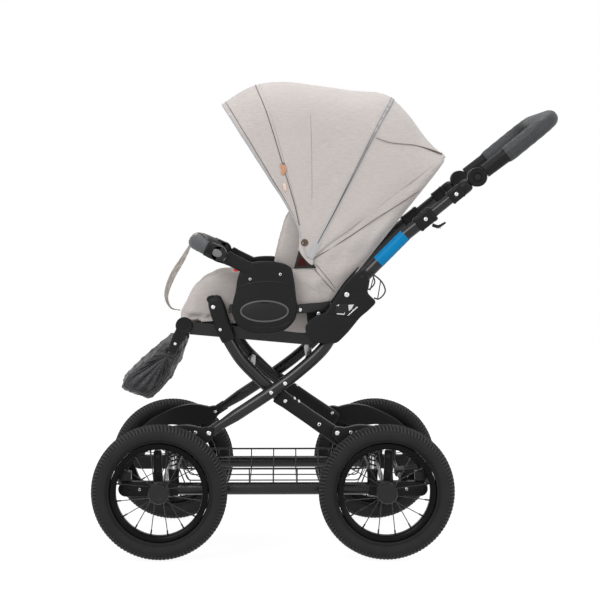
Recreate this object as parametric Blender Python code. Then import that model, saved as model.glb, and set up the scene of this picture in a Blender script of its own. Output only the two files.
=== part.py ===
"""Two-in-one pram with a reversible seat unit on a folding cross frame.

Metres, +Z up. The front of the pram, where the child's feet are, points to -X and the handle to +X.
The origin is on the floor, in the middle of the length and the width.
"""

import math

import bmesh
import bpy
import numpy as np
from mathutils import Vector

# Clearance left between pieces that touch on the real product
GAP = 0.0003

# Sides of the frame's tubes and steps of the turned wheels
TUBE_SIDES = 8
RIM_STEPS = 18
HUB_STEPS = 12

# Wheels: 12 1/2 x 2 1/4 inch tyres
TYRE_RADIUS = 0.155
TYRE_WIDTH = 0.055
TYRE_SEAT_RADIUS = 0.113
TREAD_DEPTH = 0.0022
TREAD_BLOCKS = 14
RIM_DEPTH = 0.014
RIM_WIDTH = 0.030
SPOKES = 16
SPOKE_RADIUS = 0.0012
SPOKE_LEAN = 0.35
HUB_RADIUS = 0.015
HUB_FLANGE_RADIUS = 0.023
HUB_LENGTH = 0.040
HUB_CAP_RADIUS = 0.024
HUB_CAP_DEPTH = 0.009
HUB_OFFSET = 0.055
FRONT_AXLE_X = -0.381
WHEELBASE = 0.517
AXLE_RADIUS = 0.006

# Lower frame
RAIL_Y = 0.215
RAIL_RADIUS = 0.01425
RAIL_OVERHANG = 0.030
CAST_HEIGHT = 0.034
CAST_WIDTH = 0.029
CAST_REACH = 0.080
STRUT_BEHIND = 0.006
STRUT_FOOT_HALF = 0.012
STRUT_TOP_HALF = 0.009
STRUT_HALF_WIDTH = 0.011
STRUT_TOP_Z = 0.2435
SPRING_TOP_Z = 0.2475
HOOP_WIDTH = 0.024
HOOP_FROM_AXLE = ((0.123, 0.286), (0.111, 0.284), (0.093, 0.2765), (0.059, 0.2755), (0.023, 0.273),
                  (-0.014, 0.2655), (-0.049, 0.2475), (-0.079, 0.219), (-0.0885, 0.194),
                  (-0.0805, 0.1740))
REAR_HOOP_END = ((0.123, 0.274), (0.111, 0.272))
HOOP_HALVES = (0.0070, 0.0140, 0.0200, 0.0265, 0.0240, 0.0165, 0.0145, 0.0135, 0.0120, 0.0105)
PIVOT_BOLT_RADIUS = 0.004
BOLT_HEAD = 0.0015
HOOP_EDGE = 0.0025
FORK_CLEARANCE = 0.0015
SPRING_RADIUS = 0.0105
SPRING_WIRE = 0.0017
SPRING_TURNS = 4
SPRING_OFFSET = 0.030
SPRING_SEAT_Z = 0.200

# Wire basket
BASKET_INSET = 0.045
BASKET_RIM_Z = 0.194
BASKET_FLOOR_Z = 0.146
BASKET_WIRE = 0.0022
BASKET_BEHIND_FRONT_AXLE = 0.036
BASKET_BEFORE_REAR_AXLE = 0.036
BASKET_CORNER = 0.035
BASKET_SIDE_DROP = 0.018
BASKET_WIRE_BEND = 0.012
HOOK_BEND = 0.008
HOOK_REACH = 0.012
HOOK_SETTLE = 0.0012
BASKET_PITCH = 0.0556

# Cross frame
OUTER_LEG_OUTSET = 0.0015
INNER_LEG_INSET = 0.032
LEG_RADIUS = 0.014
SLEEVE_HALF = 0.0168
EYE_RADIUS = 0.0125
EYE_THICKNESS = 0.010
BRAKE_BEHIND_AXLE = 0.044
BRAKE_Z = 0.160
BRAKE_RADIUS = 0.006
PEDAL_OUTLINE = ((-0.010, -0.006), (0.006, -0.010), (0.040, 0.004), (0.052, 0.014), (0.050, 0.019),
                 (0.036, 0.013), (0.004, 0.010), (-0.008, 0.008))
PEDAL_HALF_WIDTH = 0.032
BRAKE_ARM_OUTLINE = ((-0.009, -0.009), (0.009, -0.009), (0.007, 0.030), (-0.007, 0.030))
BRAKE_ARM_THICKNESS = 0.004
OUTER_LEG = ((-0.190, 0.336), (-0.127, 0.378), (-0.065, 0.424), (-0.007, 0.478), (0.020, 0.528))
INNER_LEG = ((-0.098, 0.3575), (-0.127, 0.380), (-0.159, 0.410), (-0.1985, 0.452),
             (-0.229, 0.503), (-0.2405, 0.536))
TOP_SLEEVE = ((-0.2245, 0.494), (-0.2405, 0.536), (-0.252, 0.572), (-0.2585, 0.598))
OUTER_CROSS = (-0.0375, 0.450)
INNER_CROSS = (-0.175, 0.4265)
CROSS_RADIUS = 0.009
BRACKET_OUTLINE = ((-0.0485, 0.5285), (-0.044, 0.505), (-0.032, 0.492), (0.023, 0.490),
                   (0.050, 0.517), (0.077, 0.551), (0.096, 0.566), (0.115, 0.5855),
                   (0.092, 0.606), (0.098, 0.640), (0.088, 0.662), (0.065, 0.6525),
                   (0.0385, 0.624), (0.018, 0.590), (-0.004, 0.560), (-0.033, 0.548))
WIRE_LOOP_OUTSET = 0.0095
WIRE_LOOP = ((0.0949, 0.6524), (0.108, 0.6465), (0.125, 0.632), (0.1335, 0.615), (0.131, 0.603),
             (0.119, 0.5920), (0.1081, 0.5943))
WIRE_LOOP_BARS = (((0.1085, 0.6465), (0.0990, 0.6110)), ((0.1235, 0.6345), (0.1165, 0.5920)))
BRACKET_PIVOT = (0.0456, 0.602)
BRACKET_THICKNESS = 0.040
BRACKET_INSET = 0.001
SPREADER_INSET = 0.0255
SPREADER_FRONT_X = -0.2270
SPREADER_REAR = (-0.018, 0.556)
SPREADER_THICKNESS = 0.008
SPREADER_Z = 0.5675
SPREADER_HEIGHT = 0.022

# Handle
HANDLE_INSET = 0.010
HANDLE_RADIUS = 0.0145
HANDLE_UPPER_RADIUS = 0.0115
HANDLE_BEND = (0.184, 0.741)
CLAMP_POINT = (0.226, 0.774)
SECOND_CLAMP_POINT = (0.296, 0.831)
TILT_CENTRE = (0.3447, 0.870)
TILT_RADIUS = 0.022
TILT_THICKNESS = 0.036
GRIP_START = (0.415, 0.923)
GRIP_END = (0.517, 1.006)
GRIP_RADIUS = 0.0195
GRIP_CORNER = 0.055
LEVER_PIVOT = (0.2428, 0.7603)

# Seat unit
HOUSING_INSET = 0.0093
SEAT_BOSS = (-0.140, 0.622)
BOSS_RADIUS = 0.016
HOUSING_THICKNESS = 0.022
RAIL_PLATE_INSET = 0.058
RAIL_PLATE_THICKNESS = 0.009
RAIL_PLATE_HEIGHT = 0.029
SEAT_FRONT = (-0.311, 0.521)
SEAT_REAR = (-0.031, 0.4955)
SEAT_INSET = 0.065
RECLINE_AXIS = (-0.028, 0.515)
SIDE_PLATE_INSET = 0.046
SIDE_PLATE_THICKNESS = 0.007
RECLINE_PIN_RADIUS = 0.0045
RECLINE_EYE_RADIUS = 0.014
HOOD_PIN_RADIUS = 0.003
HOOD_EYE_RADIUS = 0.013
FOOT_EYE_RADIUS = 0.017
SIDE_PLATE_OUTLINE = ((-0.0415, 0.517), (-0.054, 0.672), (-0.044, 0.688), (-0.020, 0.684),
                      (0.060, 0.676), (0.076, 0.662), (0.022, 0.590), (-0.010, 0.530),
                      (-0.015, 0.510))
HOUSING_OUTLINE = ((-0.190, 0.521), (-0.212, 0.545), (-0.216, 0.575), (-0.208, 0.610),
                   (-0.202, 0.645), (-0.186, 0.669), (-0.155, 0.677), (-0.115, 0.676),
                   (-0.084, 0.665), (-0.075, 0.640), (-0.070, 0.600), (-0.067, 0.570),
                   (-0.075, 0.540), (-0.100, 0.518), (-0.142, 0.511))
BADGE_CENTRE = (-0.142, 0.5635)
BADGE_HALF = (0.054, 0.0235)
PAN_START_X = -0.303
SEAT_PAD_FRONT_X = -0.344
SEAT_PAD_REAR_X = -0.068
SEAT_PAD_DEPTH = 0.036
SEAT_SIDE_WALL = 0.022
SEAT_SIDE_TOP = ((-0.344, 0.566), (-0.3326, 0.583), (-0.3096, 0.6226), (-0.2765, 0.643),
                 (-0.2306, 0.653), (-0.068, 0.651))
BACK_FOOT = (0.014, 0.577)
BACK_ANGLE = math.radians(51.5)
BACK_LENGTH = 0.395
BACK_PAD_DEPTH = 0.044
BACK_PAD_HALF = 0.148
BACK_WALL = 0.020
BACK_END_DRAW = (0.012, 0.003, 0.0)
BACK_WING = ((0.032, 0.130), (0.044, 0.178), (0.062, 0.200), (0.105, 0.212), (0.165, 0.196),
             (0.225, 0.165), (0.290, 0.128), (0.350, 0.092), (0.383, 0.066))
BOARD_DEPTH = 0.006
BOARD_THICKNESS = 0.010
SOCKET_ROOT = (-0.182, 0.663)
BUMPER_JOINT = (-0.247, 0.695)
BUMPER_EYE_RADIUS = 0.0185
BUTTON_RADIUS = 0.009
BUTTON_POCKET = 0.006
BUTTON_TRAVEL = 0.002
STRAP_WIDTH = 0.025
STRAP_THICKNESS = 0.0024
STRAP_SLACK = 0.0013
STRAP_ROUTE = ((-0.338, 0.680), (-0.365, 0.635), (-0.380, 0.590), (-0.370, 0.560),
               (-0.3475, 0.553))
BUMPER_FRONT_X = -0.302
BUMPER_FRONT_Z = 0.7205
BUMPER_RADIUS = 0.0165
BUMPER_CORNER = 0.060
FOOT_AXIS = (-0.3285, 0.527)
FOOT_HINGE_RADIUS = 0.020
FOOT_ROD_RADIUS = 0.006
FOOT_DISC_THICKNESS = 0.008
FOOT_TONGUE = ((0.0, 0.0), (-0.016, -0.030), (-0.030, -0.062))
FOOT_TONGUE_HALVES = (0.013, 0.012, 0.009)
FOOT_CROSS_ROD = (-0.026, -0.054)
FOOT_CROSS_RADIUS = 0.005
FOOT_COVER_OUTLINE = ((-0.329, 0.490), (-0.352, 0.499), (-0.381, 0.495), (-0.435, 0.445),
                      (-0.476, 0.403), (-0.472, 0.378), (-0.450, 0.368), (-0.423, 0.359),
                      (-0.381, 0.382), (-0.350, 0.432))

# Hood
HOOD_CENTRE = (-0.042, 0.6755)
HOOD_INSET = 0.0315
HOOD_FRONT_ANGLE = 118.6
HOOD_BOW_ANGLE = 107.4
HOOD_BAND_ANGLE = 63.3
HOOD_REAR_ANGLE = 38.0
HOOD_THICKNESS = 0.003
BOW_RADIUS = 0.0035
BOW_SIDES = 6
BOW_START = 0.022
BOW_DROP = 0.0037
BOW_EYE_THICKNESS = 0.0022
HOOD_CORNER = 0.100
HOOD_START_RADIUS = 0.030
HOOD_SPLIT = 0.25
HOOD_TOP = ((36.6, 0.4085), (43.5, 0.400), (49.4, 0.4037), (56.2, 0.417), (63.3, 0.4302),
            (67.6, 0.4297), (76.3, 0.4133), (87.4, 0.412), (98.0, 0.4235), (107.4, 0.429),
            (118.6, 0.4175))

REAR_AXLE_X = FRONT_AXLE_X + WHEELBASE
AXLE_Z = TYRE_RADIUS
MIDDLE_X = (FRONT_AXLE_X + REAR_AXLE_X) / 2
RIM_INNER_RADIUS = TYRE_SEAT_RADIUS - RIM_DEPTH
FRONT_PIVOT = (FRONT_AXLE_X + HOOP_FROM_AXLE[1][0], HOOP_FROM_AXLE[1][1])
REAR_PIVOT = (REAR_AXLE_X - REAR_HOOP_END[1][0], REAR_HOOP_END[1][1])
STRUT_X = FRONT_AXLE_X - STRUT_BEHIND
BRAKE_AXIS = (REAR_AXLE_X + BRAKE_BEHIND_AXLE, BRAKE_Z)
BASKET_START_X = FRONT_AXLE_X + BASKET_BEHIND_FRONT_AXLE
BASKET_END_X = REAR_AXLE_X - BASKET_BEFORE_REAR_AXLE

# Places across the width, all from the rails
TRACK_HALF = RAIL_Y + HUB_OFFSET
BASKET_HALF_WIDTH = RAIL_Y - BASKET_INSET
OUTER_LEG_Y = RAIL_Y + OUTER_LEG_OUTSET
INNER_LEG_Y = RAIL_Y - INNER_LEG_INSET
WIRE_LOOP_Y = RAIL_Y + WIRE_LOOP_OUTSET
BRACKET_Y = RAIL_Y - BRACKET_INSET
SPREADER_Y = RAIL_Y - SPREADER_INSET
HANDLE_Y = RAIL_Y - HANDLE_INSET
HOUSING_Y = RAIL_Y - HOUSING_INSET
RAIL_PLATE_Y = RAIL_Y - RAIL_PLATE_INSET
SIDE_PLATE_Y = RAIL_Y - SIDE_PLATE_INSET
SEAT_HALF_WIDTH = RAIL_Y - SEAT_INSET
FOOT_COVER_HALF = SEAT_HALF_WIDTH
HOOD_HALF_WIDTH = RAIL_Y - HOOD_INSET

BLACK = (0.022, 0.022, 0.023)
SATIN_BLACK = (0.030, 0.030, 0.032)
TYRE_BLACK = (0.028, 0.029, 0.031)
GREIGE = (0.56, 0.51, 0.47)
STEEL = (0.62, 0.62, 0.63)


def clear_scene():
    for obj in list(bpy.data.objects):
        bpy.data.objects.remove(obj, do_unlink=True)


def make_material(name, colour, roughness, metallic):
    mat = bpy.data.materials.new(name)
    mat.use_nodes = True
    shader = mat.node_tree.nodes["Principled BSDF"]
    shader.inputs["Base Color"].default_value = (*colour, 1.0)
    shader.inputs["Roughness"].default_value = roughness
    shader.inputs["Metallic"].default_value = metallic
    return mat


def finish_mesh(name, verts, faces, look, smooth=35.0):
    """Makes an object from points and faces, with outward faces and smooth round sides."""
    mesh = bpy.data.meshes.new(name)
    mesh.from_pydata([tuple(v) for v in verts], [], [tuple(f) for f in faces])
    bm = bmesh.new()
    bm.from_mesh(mesh)
    bmesh.ops.recalc_face_normals(bm, faces=bm.faces)
    bm.to_mesh(mesh)
    bm.free()
    return place_mesh(name, mesh, look, smooth)


def place_mesh(name, mesh, look, smooth=35.0):
    obj = bpy.data.objects.new(name, mesh)
    bpy.context.scene.collection.objects.link(obj)
    mesh.materials.clear()
    mesh.materials.append(make_material(name, *look))
    mesh.shade_smooth()
    mesh.set_sharp_from_angle(angle=math.radians(smooth))
    return obj


def applied_mesh(obj):
    """The object's mesh after its modifiers."""
    graph = bpy.context.evaluated_depsgraph_get()
    return bpy.data.meshes.new_from_object(obj.evaluated_get(graph))


def combine(target, others, operation):
    """Joins the others to the target, or cuts them from it, and removes them."""
    for other in others:
        step = target.modifiers.new("combine", "BOOLEAN")
        step.operation = operation
        step.solver = "EXACT"
        step.object = other
        mesh = applied_mesh(target)
        target.modifiers.clear()
        old = target.data
        target.data = mesh
        bpy.data.meshes.remove(old)
        bpy.data.objects.remove(other, do_unlink=True)
    target.data.shade_smooth()
    target.data.set_sharp_from_angle(angle=math.radians(35.0))
    return target


def mirrored_far(obj, name):
    """The same piece on the far side, with its faces still pointing out."""
    mesh = obj.data.copy()
    for vertex in mesh.vertices:
        vertex.co.y = -vertex.co.y
    mesh.flip_normals()
    mesh.materials.clear()
    look = obj.data.materials[0].node_tree.nodes["Principled BSDF"].inputs
    far = place_mesh(name, mesh, (tuple(look["Base Color"].default_value)[:3],
                                  look["Roughness"].default_value, look["Metallic"].default_value))
    far.location = (obj.location.x, -obj.location.y, obj.location.z)
    return far


def joint_frame(name, point):
    """An empty on a joint's axis that its moving pieces are parented to."""
    empty = bpy.data.objects.new(name, None)
    empty.empty_display_size = 0.02
    empty.location = point
    bpy.context.scene.collection.objects.link(empty)
    return empty


def carry(empty, pieces):
    for piece in pieces:
        piece.parent = empty
        piece.matrix_parent_inverse.translation = -empty.location


def smooth_points(points, per_span):
    """A smooth curve (Catmull-Rom) through the points, with per_span steps between each two."""
    pts = np.array(points, float)
    ends = np.vstack([2 * pts[0] - pts[1], pts, 2 * pts[-1] - pts[-2]])
    out = []
    for a, b, c, d in zip(ends[:-3], ends[1:-2], ends[2:-1], ends[3:]):
        for t in np.arange(per_span) / per_span:
            out.append(0.5 * (2 * b + (c - a) * t + (2 * a - 5 * b + 4 * c - d) * t**2
                              + (3 * b - a - 3 * c + d) * t**3))
    out.append(pts[-1])
    return np.array(out)


def bent_path(points, radii, steps=5):
    """Straight runs joined by arcs: each inner point gets a bend of its own radius."""
    pts = [np.array(p, float) for p in points]
    out = [pts[0]]
    for before, corner, after, radius in zip(pts, pts[1:], pts[2:], radii):
        u = (before - corner) / np.linalg.norm(before - corner)
        w = (after - corner) / np.linalg.norm(after - corner)
        half = math.acos(np.clip(u @ w, -1, 1)) / 2
        reach = radius / math.tan(half)
        centre = corner + (u + w) / np.linalg.norm(u + w) * radius / math.sin(half)
        start = corner + u * reach - centre
        end = corner + w * reach - centre
        turn = math.acos(np.clip(start @ end / radius**2, -1, 1))
        for k in range(steps + 1):
            a = turn * k / steps
            out.append(centre + (start * math.sin(turn - a) + end * math.sin(a)) / math.sin(turn))
    out.append(pts[-1])
    return np.array(out)


def sweep(path, section):
    """Rings of the section (side, up) carried along the path without twist."""
    path = np.array(path, float)
    tangents = np.gradient(path, axis=0)
    tangents /= np.linalg.norm(tangents, axis=1)[:, None]
    side = np.cross(tangents[0], (0, 1, 0))
    if np.linalg.norm(side) < 0.2:
        side = np.cross(tangents[0], (0, 0, 1))
    side /= np.linalg.norm(side)
    rings = []
    for k, (point, tangent) in enumerate(zip(path, tangents)):
        side = side - tangent * (side @ tangent)
        side /= np.linalg.norm(side)
        up = np.cross(tangent, side)
        shape = section(k) if callable(section) else section
        rings.append([point + a * side + b * up for a, b in shape])
    return np.array(rings)


def circle(radius, sides):
    turn = 2 * math.pi * np.arange(sides) / sides
    return np.column_stack([radius * np.cos(turn), radius * np.sin(turn)])


def skin(name, rings, look, closed_path=False, smooth=35.0):
    """A closed body through rings of points, with flat ends unless the path closes."""
    count, sides = rings.shape[:2]
    faces = []
    spans = count if closed_path else count - 1
    for i in range(spans):
        a, b = i * sides, ((i + 1) % count) * sides
        for j in range(sides):
            k = (j + 1) % sides
            faces.append((a + j, a + k, b + k, b + j))
    if not closed_path:
        faces.append(tuple(range(sides))[::-1])
        faces.append(tuple(range((count - 1) * sides, count * sides)))
    return finish_mesh(name, rings.reshape(-1, 3), faces, look, smooth)


def tube(name, path, radius, look, sides=TUBE_SIDES):
    return skin(name, sweep(path, circle(radius, sides)), look)


def turned(name, profile, centre, look, steps=32, wobble=None):
    """A closed profile of (radius, along Y) turned round an axis along Y."""
    rings = []
    for i in range(steps):
        a = 2 * math.pi * i / steps
        ring = []
        for j, (r, y) in enumerate(profile):
            if wobble:
                r = r + wobble(i, j)
            ring.append((centre[0] + r * math.cos(a), centre[1] + y, centre[2] + r * math.sin(a)))
        rings.append(ring)
    return skin(name, np.array(rings), look, closed_path=True)


def pin(name, x, z, y0, y1, radius, look, sides=8):
    """A round bar along Y."""
    ring = circle(radius, sides)
    rings = [[(x + a, y, z + b) for a, b in ring] for y in (y0, y1)]
    return skin(name, np.array(rings), look)


def slab(name, outline, y0, y1, look, edge=0.0, smooth=35.0):
    """An outline in X and Z given a width along Y, with its long edges rounded off."""
    pts = np.array(outline, float)
    count = len(pts)
    verts = [(x, y, z) for y in (y0, y1) for x, z in pts]
    faces = [tuple(range(count)), tuple(range(count, 2 * count))[::-1]]
    faces += [(i, (i + 1) % count, count + (i + 1) % count, count + i) for i in range(count)]
    obj = finish_mesh(name, verts, faces, look, smooth)
    if edge:
        bm = bmesh.new()
        bm.from_mesh(obj.data)
        rims = [e for e in bm.edges if abs(e.verts[0].co.y - e.verts[1].co.y) < 1e-7]
        bmesh.ops.bevel(bm, geom=rims, offset=edge, segments=1, profile=0.5, affect="EDGES",
                        clamp_overlap=True)
        bm.to_mesh(obj.data)
        bm.free()
        obj.data.shade_smooth()
        obj.data.set_sharp_from_angle(angle=math.radians(smooth))
    return obj


def band_outline(points, halves, per_span=5):
    """The outline of a strip whose middle line and half widths are smooth through the points."""
    line = smooth_points([(x, z, h) for (x, z), h in zip(points, halves)], per_span)
    tangent = np.gradient(line[:, :2], axis=0)
    tangent /= np.linalg.norm(tangent, axis=1)[:, None]
    normal = np.column_stack([-tangent[:, 1], tangent[:, 0]])
    left = line[:, :2] + normal * line[:, 2:]
    right = line[:, :2] - normal * line[:, 2:]
    return np.vstack([left, right[::-1]])


def box_between(name, low, high, look, edge=0.0):
    outline = [(low[0], low[2]), (high[0], low[2]), (high[0], high[2]), (low[0], high[2])]
    return slab(name, outline, low[1], high[1], look, edge)


def in_plane(points, y):
    return [(x, y, z) for x, z in points]


PLASTIC = (BLACK, 0.45, 0.0)
FRAME_PAINT = (SATIN_BLACK, 0.35, 0.3)
TYRE_RUBBER = (TYRE_BLACK, 0.8, 0.0)
BARE_STEEL = (STEEL, 0.3, 1.0)
CLOTH = (GREIGE, 0.9, 0.0)
DARK_CLOTH = (BLACK, 0.95, 0.0)
LEATHERETTE = ((0.07, 0.073, 0.078), 0.55, 0.0)
GREY_PLASTIC = ((0.35, 0.35, 0.36), 0.5, 0.0)
WEBBING = ((0.33, 0.25, 0.19), 0.9, 0.0)


def tyre_profile():
    """Half of the tyre's section, from the rim seat over the side wall to the crown."""
    half = TYRE_WIDTH / 2
    depth = TYRE_RADIUS - TYRE_SEAT_RADIUS
    shape = [(0.0, 0.42), (0.22, 0.90), (0.62, 1.0), (0.93, 0.62)]
    side = [(TYRE_SEAT_RADIUS + depth * r, -half * y) for r, y in shape]
    return side + [(TYRE_RADIUS, 0.0)] + [(r, -y) for r, y in side[::-1]]


def tread(step, ring_point):
    """The shoulder blocks: every other step is lower, and the two shoulders alternate."""
    if ring_point == 3:
        return -TREAD_DEPTH * (step % 2)
    if ring_point == 5:
        return -TREAD_DEPTH * ((step + 1) % 2)
    return 0.0


def wheel(label, x, side, first):
    """One wheel: tyre, and rim with laced spokes, hub and cap. side is -1 on the near side."""
    centre = (x, side * TRACK_HALF, AXLE_Z)
    tyre = turned("tyre_" + label, tyre_profile(), centre, TYRE_RUBBER, 2 * TREAD_BLOCKS, tread)
    if first:
        mesh = first.data.copy()
        for vertex in mesh.vertices:
            vertex.co.x += x - FRONT_AXLE_X
            if side > 0:
                vertex.co.y = -vertex.co.y
        if side > 0:
            mesh.flip_normals()
        return tyre, place_mesh("spoked_rim_" + label, mesh, FRAME_PAINT)
    outer = TYRE_SEAT_RADIUS * math.cos(math.pi / (2 * TREAD_BLOCKS)) - GAP
    half = RIM_WIDTH / 2
    rim_section = [(RIM_INNER_RADIUS, 0.0), (outer - 0.006, -half), (outer, -half * 0.8),
                   (outer, half * 0.8), (outer - 0.006, half)]
    rim = turned("spoked_rim_" + label, rim_section, centre, FRAME_PAINT, RIM_STEPS)
    bore = AXLE_RADIUS + GAP
    end = HUB_LENGTH / 2
    neck = HUB_RADIUS - 0.002
    hub_section = [(bore, -end), (HUB_RADIUS, -end), (HUB_FLANGE_RADIUS, -0.0155), (neck, -0.011),
                   (neck, 0.011), (HUB_FLANGE_RADIUS, 0.0155), (HUB_RADIUS, end), (bore, end)]
    parts = [turned("hub", hub_section, centre, FRAME_PAINT, HUB_STEPS)]
    cap_start = centre[1] - end + 0.001
    parts.append(pin("cap", x, AXLE_Z, cap_start - HUB_CAP_DEPTH, cap_start, HUB_CAP_RADIUS,
                     PLASTIC, HUB_STEPS))
    for k in range(SPOKES):
        at_rim = 2 * math.pi * (k + 0.5) / SPOKES
        at_hub = at_rim + SPOKE_LEAN * (1 if k % 4 < 2 else -1)
        flange_y = centre[1] + 0.0145 * (1 if k % 2 else -1)
        inner, reach = HUB_FLANGE_RADIUS - 0.004, RIM_INNER_RADIUS + 0.005
        start = (x + inner * math.cos(at_hub), flange_y, AXLE_Z + inner * math.sin(at_hub))
        stop = (x + reach * math.cos(at_rim), centre[1], AXLE_Z + reach * math.sin(at_rim))
        parts.append(tube("spoke", [start, stop], SPOKE_RADIUS, FRAME_PAINT, 3))
    return tyre, combine(rim, parts, "UNION")


def make_wheels():
    done = {}
    first = None
    for label, x, side in (("front_near", FRONT_AXLE_X, -1), ("front_far", FRONT_AXLE_X, 1),
                           ("rear_near", REAR_AXLE_X, -1), ("rear_far", REAR_AXLE_X, 1)):
        tyre, rim = wheel(label, x, side, first)
        first = first or rim
        hinge = joint_frame("spin_" + label, (x, side * TRACK_HALF, AXLE_Z))
        carry(hinge, (tyre, rim))
        done[label] = (tyre, rim)
    return done


def flipped(points):
    """Points in X and Z of a front piece, turned round for the rear."""
    return [(2 * MIDDLE_X - x, z) for x, z in points]


def make_rail():
    """The near rail with its two cast ends, spring cups and struts, bored for the axles."""
    nose = AXLE_Z
    rail = tube("rail_near", [(FRONT_AXLE_X + 0.01, -RAIL_Y, AXLE_Z),
                              (REAR_AXLE_X - 0.01, -RAIL_Y, AXLE_Z)], RAIL_RADIUS, FRAME_PAINT, 10)
    cast_half = CAST_HEIGHT / 2
    arc = [math.radians(a) for a in range(90, 271, 30)]
    tip = FRONT_AXLE_X - CAST_REACH
    outline = [(tip + cast_half * math.cos(a), nose + cast_half * math.sin(a)) for a in arc]
    outline += [(FRONT_AXLE_X + RAIL_OVERHANG, nose - cast_half),
                (FRONT_AXLE_X + RAIL_OVERHANG + 0.012, nose),
                (FRONT_AXLE_X + RAIL_OVERHANG, nose + cast_half)]
    parts = []
    for turn in (lambda p: p, flipped):
        parts.append(slab("cast", turn(outline), -RAIL_Y - CAST_WIDTH / 2, -RAIL_Y + CAST_WIDTH / 2,
                          FRAME_PAINT, 0.003))
        strut = [(STRUT_X - STRUT_FOOT_HALF, nose), (STRUT_X + STRUT_FOOT_HALF, nose),
                 (STRUT_X + STRUT_TOP_HALF, STRUT_TOP_Z), (STRUT_X - STRUT_TOP_HALF, STRUT_TOP_Z)]
        parts.append(slab("strut", turn(strut), -RAIL_Y - STRUT_HALF_WIDTH,
                          -RAIL_Y + STRUT_HALF_WIDTH, FRAME_PAINT))
        cup_x = turn([(FRONT_AXLE_X + SPRING_OFFSET, 0)])[0][0]
        parts.append(tube("cup", [(cup_x, -RAIL_Y, nose), (cup_x, -RAIL_Y, SPRING_SEAT_Z)],
                          SPRING_RADIUS + 0.0015, FRAME_PAINT, 10))
    rail = combine(rail, parts, "UNION")
    bores = [pin("bore", x, AXLE_Z, -RAIL_Y - 0.03, -RAIL_Y + 0.03, AXLE_RADIUS + GAP, PLASTIC, 12)
             for x in (FRONT_AXLE_X, REAR_AXLE_X)]
    return combine(rail, bores, "DIFFERENCE")


def hoop(name, points, turn):
    """A C-shaped suspension arm: broad plate at the top, curled round the front of the axle."""
    line = [(FRONT_AXLE_X + dx, z) for dx, z in points]
    y0, y1 = -RAIL_Y - HOOP_WIDTH / 2, -RAIL_Y + HOOP_WIDTH / 2
    return slab(name, turn(band_outline(line, HOOP_HALVES, 2)), y0, y1, PLASTIC, HOOP_EDGE)


def front_hoop():
    """The front arm ends in a fork with a pin for the outer leg's eye."""
    x, z = FRONT_PIVOT
    arm = hoop("hoop_front_near", HOOP_FROM_AXLE, lambda p: p)
    slot_half = EYE_THICKNESS / 2 + GAP
    reach = EYE_RADIUS + FORK_CLEARANCE
    slot = box_between("slot", (x - reach, -OUTER_LEG_Y - slot_half, z - 2 * reach),
                       (x + 2 * reach, -OUTER_LEG_Y + slot_half, z + 2 * reach), PLASTIC)
    arm = combine(arm, [slot], "DIFFERENCE")
    bolt = pin("bolt", x, z, -RAIL_Y - HOOP_WIDTH / 2 - BOLT_HEAD, -RAIL_Y + HOOP_WIDTH / 2,
               PIVOT_BOLT_RADIUS, PLASTIC, 10)
    return combine(arm, [bolt], "UNION")


def rear_hoop():
    """The rear arm carries a pin on its inner side for the inner leg's sleeve."""
    arm = hoop("hoop_rear_near", REAR_HOOP_END + HOOP_FROM_AXLE[2:], flipped)
    x, z = REAR_PIVOT
    bolt = pin("bolt", x, z, -RAIL_Y - HOOP_WIDTH / 2 - BOLT_HEAD, -INNER_LEG_Y + SLEEVE_HALF,
               PIVOT_BOLT_RADIUS, PLASTIC, 10)
    return combine(arm, [bolt], "UNION")


def coil_spring(name, x, top):
    """A compression spring standing in its cup, as one unbroken tube of curls."""
    points = []
    per_turn = 6
    height = top - SPRING_SEAT_Z - 2 * SPRING_WIRE - 2 * GAP
    count = SPRING_TURNS * per_turn
    for k in range(count + 1):
        turn = 2 * math.pi * k / per_turn
        points.append((x + (SPRING_RADIUS - SPRING_WIRE) * math.cos(turn),
                       -RAIL_Y + (SPRING_RADIUS - SPRING_WIRE) * math.sin(turn),
                       SPRING_SEAT_Z + SPRING_WIRE + GAP + height * k / count))
    curve = bpy.data.curves.new(name, "CURVE")
    curve.dimensions = "3D"
    spline = curve.splines.new("POLY")
    spline.points.add(len(points) - 1)
    for spot, point in zip(spline.points, points):
        spot.co = (*point, 1.0)
    curve.bevel_depth = SPRING_WIRE
    curve.bevel_resolution = 1
    curve.use_fill_caps = True
    obj = bpy.data.objects.new(name, curve)
    bpy.context.scene.collection.objects.link(obj)
    mesh = applied_mesh(obj)
    bpy.data.objects.remove(obj, do_unlink=True)
    pitch = height / SPRING_TURNS
    print(name, "least gap between curls", round((pitch - 2 * SPRING_WIRE) * 1000, 2), "mm")
    return place_mesh(name, mesh, FRAME_PAINT)


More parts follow.
